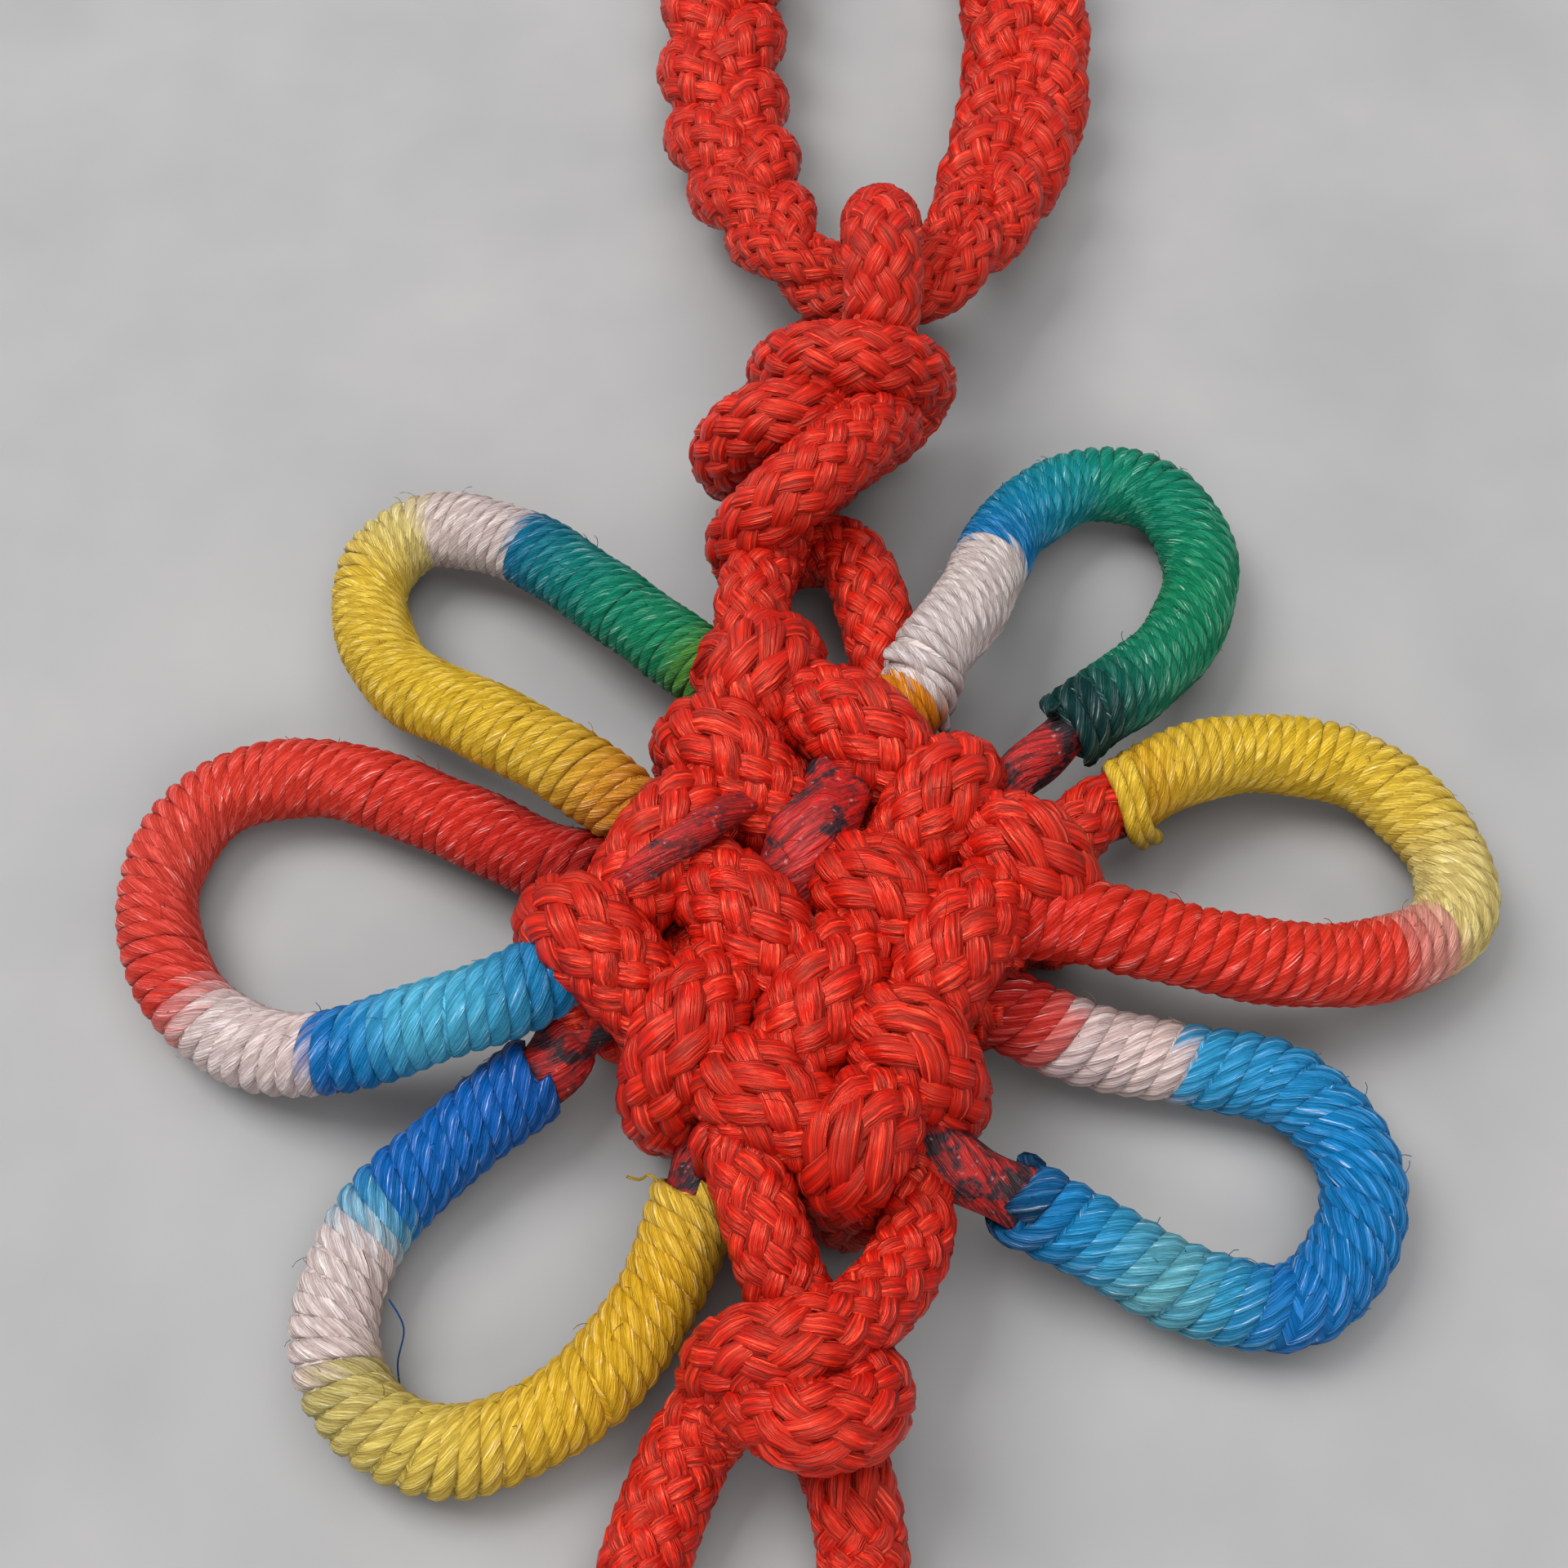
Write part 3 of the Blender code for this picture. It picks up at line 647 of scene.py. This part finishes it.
# The lower pair: the same two cord ends leave the foot of the weave, tie a second connection
# knot and run out as two short tails, each cut square and sealed.
LOWER_ROUTES = {
    ("a", 3, 1, 1): (
        (-1.85, -3.2, 3.2, 0.97), (-1.55, -4.4, 3.3, 0.95), (-1.2, -5.5, 3.2, 0.95), (-0.75, -6.6, 2.8, 0.97),
        (0.1, -7.9, 2.5, 1.0), (0.75, -8.4, 2.9, 1.0), (0.65, -9.2, 3.5, 1.0), (-0.4, -9.5, 3.8, 1.02),
        (-1.3, -8.9, 3.2, 1.0), (-1.9, -8.6, 2.2, 1.0), (-2.7, -9.1, 1.5, 1.0), (-3.3, -10.3, 1.15, 1.0),
        (-3.8, -11.8, 1.0, 1.0), (-4.3, -14.0, 1.0, 1.0), (-4.6, -16.6, 1.0, 0.98), (-4.6, -17.6, 1.0, 0.9),
    ),
    ("b", 4, 1, -1): (
        (1.5, -3.2, 2.3, 0.9), (1.9, -4.6, 2.5, 0.9), (1.6, -5.9, 2.8, 0.92), (0.7, -7.1, 3.3, 0.95),
        (-0.55, -7.85, 3.9, 1.0), (-1.75, -7.95, 3.5, 1.0), (-2.2, -8.1, 2.2, 0.98), (-1.3, -8.3, 1.2, 1.0),
        (0.0, -9.1, 1.2, 1.0), (0.5, -10.3, 1.5, 1.0), (0.7, -11.4, 1.1, 1.0), (0.8, -12.8, 1.0, 1.0),
        (1.1, -14.8, 1.0, 1.0), (1.5, -17.2, 1.0, 0.98), (1.6, -18.2, 1.0, 0.9),
    ),
}

lower = bmesh.new()
for root, route in LOWER_ROUTES.items():
    braid(lower, even_rows([*root_rows(root, UNDER_RADIUS), *route], YARN_STEP))
finished("lower_knot", lower, red_cord, ["knot_cord"])

SEAL_STEP = 0.1
SEAL_SIDES = 16
# The melted skin, from inside the braid to the blunt end: place past the tip, and radius
SEAL = ((-0.7, 0.8), (-0.45, 0.97), (-0.15, 0.93), (0.05, 0.8), (0.12, 0.45), (0.13, 0.12))


def sealed_material():
    """Nylon melted with a flame: one dark, glassy skin with small scorched spots."""
    material, tree, shader = new_material("sealed_nylon")
    spot = placed(tree, "ShaderNodeTexCoord").outputs["Object"]
    scorch = placed(
        tree, "ShaderNodeTexNoise",
        {"Vector": spot, "Scale": 1500.0, "Detail": 3.0},
    ).outputs["Fac"]
    stops = ((0.35, srgb(60, 8, 6)), (0.5, srgb(140, 12, 8)), (0.7, srgb(190, 24, 14)))
    tree.links.new(ramp_of(tree, scorch, stops), shader.inputs["Base Color"])
    give_relief(tree, shader, scorch, 0.0001, strength=0.6)
    shader.inputs["Roughness"].default_value = 0.3
    return material


seals = bmesh.new()
for route in LOWER_ROUTES.values():
    tip = Vector(route[-1][:3])
    heading = (tip - Vector(route[-2][:3])).normalized()
    rows = [(*(tip + heading * place), radius) for place, radius in SEAL]
    round_strand(seals, frames_along(even_rows(rows, SEAL_STEP)), 1.0, SEAL_SIDES)
finished("sealed_ends", seals, sealed_material(), ["knot_cord"])


# The ears' own cord: the same cord flattened and stiffened with glue, bare between the weave
# and the winding, and stained dark by the dye of the thread.

# Where each ear tucks into the weave, before and after the points of its own route
EAR_TUCKS = {
    "upper_left": (((-1.49, 8.42, 2.4),), ((-4.3, 4.7, 3.0), (-3.6, 4.3, 2.7))),
    "left": (((-4.9, 3.4, 2.2),), ((-5.6, 0.98, 3.2), (-4.9, 1.48, 3.0))),
    "lower_left": (
        ((-4.03, 1.0, 2.1), (-4.75, 0.29, 2.1), (-5.65, -0.22, 1.9)),
        ((-2.5, -3.07, 2.0), (-2.24, -2.31, 2.0), (-1.98, -1.34, 2.0)),
    ),
    "upper_right": (
        ((1.7, 7.36, 3.0), (2.29, 8.1, 3.1)),
        ((5.37, 6.82, 2.6), (4.56, 6.04, 2.6), (4.16, 5.27, 2.4)),
    ),
    "right": (((5.54, 4.24, 2.3), (6.24, 5.05, 2.4)), ((4.21, 1.94, 3.3), (3.67, 2.09, 3.0))),
    "lower_right": (((2.6, 1.0, 2.0), (3.52, 0.74, 2.0)), ((1.76, -2.6, 2.4), (1.07, -1.91, 2.2))),
}
EAR_ROUTES = {
    "upper_left": (
        (-2.5, 8.9, 2.3), (-3.6, 9.9, 2.2), (-5.4, 11.6, 1.9), (-7.5, 13.3, 1.6), (-9.9, 14.1, 1.3),
        (-11.2, 13.0, 1.2), (-11.2, 11.2, 1.3), (-10.1, 9.0, 2.0), (-8.1, 7.4, 2.9),
        (-6.2, 6.1, 3.3), (-4.9, 5.2, 3.2),
    ),
    "left": (
        (-5.4, 3.7, 2.2), (-6.4, 4.1, 1.9), (-8.6, 5.4, 1.5), (-11.9, 6.8, 1.15), (-14.5, 6.3, 1.05),
        (-15.6, 4.0, 1.05), (-14.9, 1.4, 1.05), (-13.1, -0.2, 1.2), (-11.0, -0.7, 1.9),
        (-8.6, -0.3, 2.8), (-6.9, 0.2, 3.1),
    ),
    "lower_left": (
        (-6.2, -1.0, 1.7), (-8.1, -2.5, 1.3), (-9.9, -4.4, 1.1), (-10.5, -6.8, 1.05), (-9.6, -8.6, 1.05),
        (-7.7, -9.3, 1.05), (-5.3, -8.3, 1.2), (-3.7, -6.4, 1.5), (-2.9, -4.4, 1.8),
    ),
    "upper_right": (
        (2.6, 9.0, 3.3), (3.6, 10.6, 2.9), (4.2, 12.2, 2.3), (5.0, 14.0, 1.7), (6.8, 15.5, 1.3),
        (8.8, 15.2, 1.15), (9.7, 13.1, 1.15), (9.0, 10.7, 1.5), (7.6, 8.9, 2.2), (6.4, 7.7, 2.8),
    ),
    "right": (
        (6.9, 5.6, 2.1), (8.6, 6.7, 1.9), (10.7, 7.3, 1.5), (13.1, 6.9, 1.2), (14.7, 5.0, 1.1),
        (14.7, 3.0, 1.15), (12.8, 1.7, 1.7), (10.2, 1.2, 2.6), (7.2, 1.5, 3.3), (5.6, 1.9, 3.3),
    ),
    "lower_right": (
        (4.6, 0.2, 1.7), (6.2, -0.3, 1.3), (8.4, -0.7, 1.15), (10.4, -1.2, 1.1), (11.7, -2.7, 1.05),
        (11.6, -4.6, 1.05), (10.1, -6.2, 1.05), (7.8, -5.9, 1.2), (5.8, -4.9, 1.6), (3.9, -4.1, 2.2),
        (2.7, -3.5, 2.6),
    ),
}
BARE_RADIUS = 0.72
THIN_CORES = {"upper_right": 0.57}
BARE_LINE_SHARE = 0.74
BARE_SIDES = 18
GLUE_STEP = 0.2
GLUE_FLAT = 0.85
STRAND_FLAT = 0.9
GLUE_LUMPS = (
    # how far the glued yarns stand out, how many there are around, how fast they wind along
    (0.07, 3, 1.3), (0.05, 5, -1.9), (0.05, 0, 2.7), (0.03, 7, 0.0),
)


def ear_rows(ear):
    """The rows of an ear's whole route with its two tucked ends."""
    before, after = EAR_TUCKS[ear]
    radius = THIN_CORES.get(ear, BARE_RADIUS)
    return [(*point, radius) for point in (*before, *EAR_ROUTES[ear], *after)]


def glued_strand(shape, rows, flat, chance):
    """A bare length of the cord: its yarns set hard with glue, so it is flat, ridged and lumpy."""
    frames = frames_along(even_rows(rows, GLUE_STEP))
    lumps = [(*lump, chance.uniform(0.0, TURN)) for lump in GLUE_LUMPS]
    rings = []
    for distance, centre, _, side, up, radius in frames:
        ring = []
        for corner in range(BARE_SIDES):
            angle = TURN * corner / BARE_SIDES
            reach = 1.0
            for size, around, along, phase in lumps:
                reach += size * math.sin(around * angle + phase + along * distance)
            ring.append(centre + (side * math.cos(angle) + up * math.sin(angle) * flat) * radius * reach)
        rings.append(ring)
    strand(shape, rings, [row[0] for row in frames], [0.0] * len(frames))


def stained_material():
    """Glued bare cord: dull dark red with blots of blue-black dye and a few small pale specks painted in as
    highlights.
    """
    material, tree, shader = new_material("stained_cord")
    spot = placed(tree, "ShaderNodeTexCoord").outputs["Object"]
    blots = placed(
        tree, "ShaderNodeTexNoise",
        {"Vector": spot, "Scale": 860.0, "Detail": 5.0, "Roughness": 0.72},
    ).outputs["Fac"]
    specks = placed(
        tree, "ShaderNodeTexNoise",
        {"Vector": spot, "Scale": 5200.0, "Detail": 2.0},
    ).outputs["Fac"]
    blot = mapped(tree, blots, from_min=0.49, from_max=0.58)
    # The specks are painted highlights: small pale spots in the colour, not in the roughness.
    speck = mapped(tree, specks, from_min=0.66, from_max=0.74, to_max=0.4)
    yarn = yarn_nodes(tree, filaments=30.0, run=0.8, twist=0.12)
    ground = blended(tree, yarn["Light"], srgb(96, 8, 8), srgb(186, 26, 22))
    stained = blended(tree, blot, ground, srgb(34, 18, 26))
    with_painted_specks = blended(tree, speck, stained, srgb(190, 150, 150))
    tree.links.new(with_painted_specks, shader.inputs["Base Color"])
    rough = mapped(tree, yarn["Light"], to_min=0.7, to_max=0.45)
    tree.links.new(rough, shader.inputs["Roughness"])
    give_relief(tree, shader, yarn["Height"], 0.00016)
    shader.inputs["Specular IOR Level"].default_value = 0.35
    return material


stained_cord = stained_material()
bare = bmesh.new()
chance = random.Random("bare")
for ear in EAR_ROUTES:
    glued_strand(bare, ear_rows(ear), GLUE_FLAT, chance)
BARE_STRAND = (
    # a bare length that shows beside family a's first line: x, y, z, radius
    (-5.1, 2.1, 3.2, 0.32), (-4.45, 2.28, 4.3, 0.36), (-3.8, 2.62, 4.8, 0.38), (-3.06, 3.12, 4.92, 0.4),
    (-2.35, 3.78, 4.7, 0.4), (-1.69, 4.45, 4.15, 0.38), (-1.3, 5.2, 3.2, 0.34),
)
glued_strand(bare, BARE_STRAND, STRAND_FLAT, chance)
bare_line = even_rows(doubled_line(*BARE_LINE), GLUE_STEP, bare_start, bare_end)
narrowed = [(*row[:3], row[3] * BARE_LINE_SHARE) for row in bare_line]
glued_strand(bare, narrowed, GLUE_FLAT, chance)
finished("bare_cord", bare, stained_cord, ["knot_cord"])


# The windings: silky twisted thread dyed in long runs of colour, wound over each ear three
# threads at a time, so its turns lean, and pulled tight side by side.
THREADS_AT_ONCE = 3
WINDING_RADIUS = 0.98
THREAD_WIDTH = 0.62
THREAD_FLAT = 0.3
THREAD_ROUND = 0.12
THREAD_SIDES = 8
THREAD_SHIFT = 0.37
STEPS_A_TURN = 24
# How the thread strays from even turns: how far, how fast, and 1 where each thread strays alone
LEVEL_WAVES = ((0.02, 0.37, 1), (0.012, 1.13, 0))
DRIFT_WAVES = ((0.09, 0.61, 1), (0.06, 0.23, 0), (0.05, 1.07, 1))
FLARE_REACH = 0.45
# The earlier turns below the outer ones, which hide all but their colour
SLEEVE_RADIUS = 0.87
SLEEVE_INSET = 0.1
SLEEVE_SIDES = 14
SLEEVE_ROWS = 60
DYE_MARGIN = 6.0
WINDING_FUZZ = 40
WINDING_FUZZ_ROOT = 0.06
WINDING_FUZZ_LENGTHS = (0.15, 0.45)
WINDINGS = {
    # ear: from and to along its own route, thread spacing at both ends, plies, flare at both ends
    "upper_left": (-0.5, 23.2, 0.28, 0.34, 2, 0.0, 0.0),
    "left": (-0.3, 26.1, 0.31, 0.46, 2, 0.0, 0.0),
    "lower_left": (0.2, 19.4, 0.46, 0.42, 3, 0.03, 0.07),
    "upper_right": (-1.8, 20.3, 0.28, 0.38, 2, 0.0, 0.05),
    "right": (0.35, 23.0, 0.32, 0.42, 2, 0.0, 0.0),
    "lower_right": (-1.2, 18.8, 0.54, 0.60, 4, 0.0, 0.07),
}
LOOSE_THREADS = (
    # ear, radius, dye place, points: the ends of the thread and hairs that have worked free
    ("right", 0.19, 2.4, (
        (7.35, 6.15, 1.4), (6.85, 6.4, 2.2), (6.75, 5.95, 3.0),
        (6.95, 5.2, 3.1), (7.25, 4.6, 2.4), (7.6, 4.9, 1.4),
    )),
    ("right", 0.2, 2.2, (
        (7.7, 6.3, 1.4), (7.2, 6.55, 2.2), (7.08, 6.05, 3.05),
        (7.25, 5.35, 3.12), (7.5, 4.75, 2.4), (7.9, 5.05, 1.4),
    )),
    ("upper_right", 0.15, -0.9, (
        (1.50, 8.61, 3.9), (2.16, 8.21, 4.1), (2.72, 7.65, 3.5), (2.9, 7.3, 2.6),
    )),
    ("lower_left", 0.02, 3.0, (
        (-9.3, -6.2, 1.5), (-9.0, -6.7, 1.1), (-9.15, -7.3, 0.6), (-9.1, -7.8, 0.2),
    )),
    ("lower_left", 0.035, 19.0, (
        (-3.5, -4.0, 2.3), (-3.8, -3.7, 2.3), (-4.0, -3.75, 2.1), (-4.3, -3.6, 1.9),
    )),
)
DYES = {
    # ear: distance along its own route, and the colour there
    "upper_left": (
        (0.6, (90, 160, 60)), (1.4, (20, 150, 98)), (3.6, (8, 146, 116)), (5.3, (8, 138, 142)),
        (6.7, (8, 120, 165)), (7.0, (232, 218, 214)), (9.2, (232, 216, 208)), (10.1, (238, 222, 140)),
        (11.9, (246, 210, 70)), (17.9, (244, 204, 48)), (20.9, (240, 196, 56)), (22.4, (225, 150, 42)),
    ),
    "left": (
        (-0.5, (160, 28, 24)), (1.1, (205, 36, 26)), (3.6, (232, 52, 36)), (9.6, (240, 68, 50)),
        (12.1, (240, 80, 66)), (15.9, (236, 66, 52)), (16.6, (232, 160, 156)), (17.0, (236, 220, 216)),
        (19.9, (234, 216, 212)), (20.2, (8, 112, 194)), (21.2, (18, 140, 210)), (22.6, (86, 194, 232)),
        (24.0, (70, 178, 218)), (25.4, (24, 135, 195)),
    ),
    "lower_left": (
        (0.0, (8, 90, 175)), (1.4, (6, 104, 195)), (4.4, (10, 112, 200)), (4.8, (60, 160, 210)),
        (5.3, (150, 195, 215)), (5.8, (234, 220, 216)), (8.5, (234, 216, 210)), (8.9, (205, 192, 120)),
        (11.1, (232, 206, 90)), (13.6, (240, 196, 48)), (17.6, (236, 184, 32)), (19.2, (240, 198, 66)),
    ),
    "upper_right": (
        (-1.25, (238, 142, 14)), (-1.15, (240, 152, 24)), (-1.05, (234, 222, 218)), (3.9, (234, 222, 216)),
        (4.1, (8, 130, 198)), (6.1, (8, 146, 186)), (7.6, (12, 154, 162)), (9.0, (10, 150, 120)),
        (14.6, (12, 146, 98)), (17.6, (12, 140, 104)), (19.0, (10, 105, 90)), (19.6, (8, 60, 60)),
    ),
    "right": (
        (0.5, (236, 180, 34)), (2.2, (244, 204, 58)), (5.7, (246, 206, 48)), (8.7, (248, 214, 80)),
        (10.2, (238, 218, 130)), (12.2, (236, 216, 134)), (12.5, (234, 168, 150)), (13.6, (230, 120, 108)),
        (14.0, (244, 64, 44)), (18.2, (244, 54, 32)), (23.0, (225, 40, 24)),
    ),
    "lower_right": (
        (-0.3, (200, 36, 28)), (0.3, (226, 60, 52)), (0.9, (238, 124, 118)), (1.1, (238, 214, 210)),
        (3.6, (236, 214, 206)), (3.9, (50, 165, 218)), (7.9, (14, 138, 208)), (12.7, (8, 118, 196)),
        (14.1, (50, 160, 202)), (15.4, (104, 184, 198)), (16.7, (50, 160, 206)), (17.9, (18, 140, 206)),
        (18.6, (12, 112, 176)), (18.9, (12, 66, 104)),
    ),
}


def dye_mark(ear, place):
    """The place along the ear as a share of its dye ramp, which runs past both ends of the winding."""
    first, last = WINDINGS[ear][:2]
    return (place + DYE_MARGIN) / (last - first + 2 * DYE_MARGIN)


def thread_material(ear, plies):
    """Dyed silk: its colour follows the distance along the ear, with fine twisted filaments, painted shade in
    the hollows between plies and painted glints on the brightest filaments.
    """
    material, tree, shader = new_material(f"thread_{ear}")
    yarn = yarn_nodes(tree, filaments=24.0, run=0.6, twist=0.7, plies=plies, ply_depth=0.5)
    mark = placed(tree, "ShaderNodeAttribute", attribute_name="mark").outputs["Fac"]
    ragged = placed(
        tree, "ShaderNodeMath",
        {0: yarn["Patch"], 1: 0.008, 2: mark}, operation="MULTIPLY_ADD",
    ).outputs[0]
    stops = [(dye_mark(ear, place), srgb(*colour)) for place, colour in DYES[ear]]
    dyed = ramp_of(tree, ragged, stops)
    # deep: the dye darkened; where Light is low it gives darker filaments and the painted shade in the
    # hollows between plies.
    deep = blended(tree, 1.0, dyed, srgb(196, 188, 188), kind="MULTIPLY")
    pale = blended(tree, 0.03, dyed, srgb(255, 250, 245))
    body = blended(tree, yarn["Patch"], dyed, pale)
    silk = blended(tree, yarn["Light"], deep, body)
    # Painted glints: the brightest filaments are blended towards near white, as highlights.
    painted_glint = mapped(tree, yarn["Light"], from_min=0.84, to_max=0.45)
    with_painted_glints = blended(tree, painted_glint, silk, srgb(255, 250, 245))
    tree.links.new(with_painted_glints, shader.inputs["Base Color"])
    rough = mapped(tree, yarn["Light"], to_min=0.55, to_max=0.22)
    tree.links.new(rough, shader.inputs["Roughness"])
    sheen = mapped(tree, yarn["Light"], from_min=0.3, to_min=0.08, to_max=0.85)
    tree.links.new(sheen, shader.inputs["Specular IOR Level"])
    give_relief(tree, shader, yarn["Height"], 0.00015)
    return material


def waved(waves, angle, thread):
    """How far a thread strays at this angle of its winding, all its waves taken together."""
    return sum(
        size * math.sin(angle * speed + phase + alone * thread)
        for size, speed, alone, phase in waves
    )


def wound_thread(shape, ear, frames, thread, level_waves, drift_waves):
    """One of the threads wound together, its flattened turns lying beside those of the others."""
    first, last, first_spacing, last_spacing, _, first_flare, last_flare = WINDINGS[ear]
    gone = (last - first) / (len(frames) - 1)
    angle = -TURN * thread / THREADS_AT_ONCE
    run = 0.0
    rings = []
    along = []
    marks = []
    for distance, centre, forward, side, up, _ in frames:
        left = last - first - distance
        spacing = first_spacing + (last_spacing - first_spacing) * distance / (last - first)
        depth = THREAD_FLAT * (spacing + THREAD_ROUND)
        level = WINDING_RADIUS - depth + waved(level_waves, angle, thread)
        level += first_flare * math.exp(-distance / FLARE_REACH)
        level += last_flare * math.exp(-left / FLARE_REACH)
        drift = waved(drift_waves, angle, thread)
        outward = side * math.cos(angle) + up * math.sin(angle)
        ring = []
        for corner in range(THREAD_SIDES):
            around = TURN * corner / THREAD_SIDES
            across = (math.cos(around) * THREAD_WIDTH + drift) * spacing
            ring.append(centre + forward * across + outward * (level + math.sin(around) * depth))
        rings.append(ring)
        along.append(run)
        marks.append(dye_mark(ear, first + distance))
        turned = TURN * gone / (spacing * THREADS_AT_ONCE)
        angle += turned
        run += turned * level
    strand(shape, rings, along, marks, shift=thread * THREAD_SHIFT)


def inner_sleeve(shape, ear, start, end):
    """The earlier turns under the outer ones, as one smooth sleeve a little shorter than they are."""
    step = (end - start) / SLEEVE_ROWS
    sleeve = frames_along(even_rows(ear_rows(ear), step, start + SLEEVE_INSET, end - SLEEVE_INSET))
    angles = [TURN * corner / SLEEVE_SIDES for corner in range(SLEEVE_SIDES)]
    rings = []
    for _, centre, _, side, up, _ in sleeve:
        outward = [side * math.cos(angle) + up * math.sin(angle) for angle in angles]
        rings.append([centre + direction * SLEEVE_RADIUS for direction in outward])
    marks = [dye_mark(ear, WINDINGS[ear][0] + row[0]) for row in sleeve]
    strand(shape, rings, [row[0] for row in sleeve], marks)


for ear, (first, last, first_spacing, last_spacing, plies, _, _) in WINDINGS.items():
    chance = random.Random(ear)
    level_waves = [(*wave, chance.uniform(0.0, TURN)) for wave in LEVEL_WAVES]
    drift_waves = [(*wave, chance.uniform(0.0, TURN)) for wave in DRIFT_WAVES]
    # The ear's own route begins past the points that tuck into the weave
    zero = smooth_route(ear_rows(ear))[1][len(EAR_TUCKS[ear][0]) * SPLINE_STEPS]
    turns = (last - first) / ((first_spacing + last_spacing) / 2 * THREADS_AT_ONCE)
    step = (last - first) / round(turns * STEPS_A_TURN)
    frames = frames_along(even_rows(ear_rows(ear), step, zero + first, zero + last))
    winding = bmesh.new()
    for thread in range(THREADS_AT_ONCE):
        wound_thread(winding, ear, frames, thread, level_waves, drift_waves)
    inner_sleeve(winding, ear, zero + first, zero + last)
    for _ in range(WINDING_FUZZ):
        distance, centre, forward, side, up, _ = chance.choice(frames)
        angle = chance.uniform(0.05, 0.95) * math.pi
        outward = side * math.cos(angle) + up * math.sin(angle)
        root = centre + outward * (WINDING_RADIUS - WINDING_FUZZ_ROOT)
        sideways = forward * chance.uniform(-1.0, 1.0) + up.cross(outward) * chance.uniform(-0.5, 0.5)
        length = chance.uniform(*WINDING_FUZZ_LENGTHS)
        stray_fibre(winding, root, outward, sideways, length, dye_mark(ear, first + distance))
    for owner, radius, place, points in LOOSE_THREADS:
        if owner == ear:
            fibre_strand(winding, points, radius, dye_mark(ear, place), THREAD_SIDES)
    thread_paint = thread_material(ear, plies)
    finished(f"winding_{ear}", winding, thread_paint, [f"ear_wrap_{ear}"])


# The hanging loop: three braided cords plaited over each other into one thick cord and closed
# to a ring, pinched where the knot's small loop holds it.
HANGING_ROUTE = (
    (1.5, 20.2, 3.25, 1.1), (0.1, 20.8, 3.2, 1.15), (-0.9, 22.2, 3.0, 1.3), (-1.6, 24.0, 2.5, 1.6),
    (-2.2, 26.2, 2.0, 1.85), (-2.6, 28.6, 1.6, 1.95), (-2.7, 31.2, 1.55, 1.95), (-2.6, 34.0, 1.55, 1.95),
    (-2.3, 37.0, 1.55, 1.95), (-1.0, 39.8, 1.55, 1.95), (1.7, 41.2, 1.55, 1.95), (4.4, 39.8, 1.55, 1.95),
    (5.8, 37.0, 1.55, 1.95), (6.1, 34.0, 1.55, 1.95), (6.15, 31.2, 1.55, 1.95), (5.9, 28.6, 1.6, 1.95),
    (5.3, 26.2, 2.0, 1.85), (4.6, 24.0, 2.5, 1.6), (3.9, 22.2, 3.0, 1.3), (2.9, 20.8, 3.2, 1.15),
)
PLAIT_STRANDS = 3
PLAIT_PITCH = 8.8
PLAIT_SPACING = 0.45
PLAIT_STEP = 0.18
STRAND_SHARE = 0.54
SWING_SHARE = 0.46
LIFT_SHARE = 0.2
STRAND_YARNS = 6
STRAND_YARN_PITCH = 4.9
STRAND_YARN_WIDTH = 0.76

plait_frames = frames_along(even_rows(HANGING_ROUTE, PLAIT_SPACING, closed=True))
plait_length = plait_frames[-1][0]
level_up = Vector((0.0, 0.0, 1.0))
plait_pitch = plait_length / round(plait_length / PLAIT_PITCH)
for number in range(PLAIT_STRANDS):
    rows = []
    for distance, centre, forward, _, _, radius in plait_frames:
        side = forward.cross(level_up).normalized()
        up = side.cross(forward)
        angle = TURN * (distance / plait_pitch + number / PLAIT_STRANDS)
        swing = side * math.sin(angle) * SWING_SHARE + up * math.sin(2 * angle) * LIFT_SHARE
        rows.append((*(centre + swing * radius), radius * STRAND_SHARE))
    plait = bmesh.new()
    braid(plait, even_rows(rows, PLAIT_STEP), STRAND_YARNS, STRAND_YARN_PITCH, STRAND_YARN_WIDTH)
    finished(f"plait_{number + 1}", plait, red_cord, ["hanging_loop"])
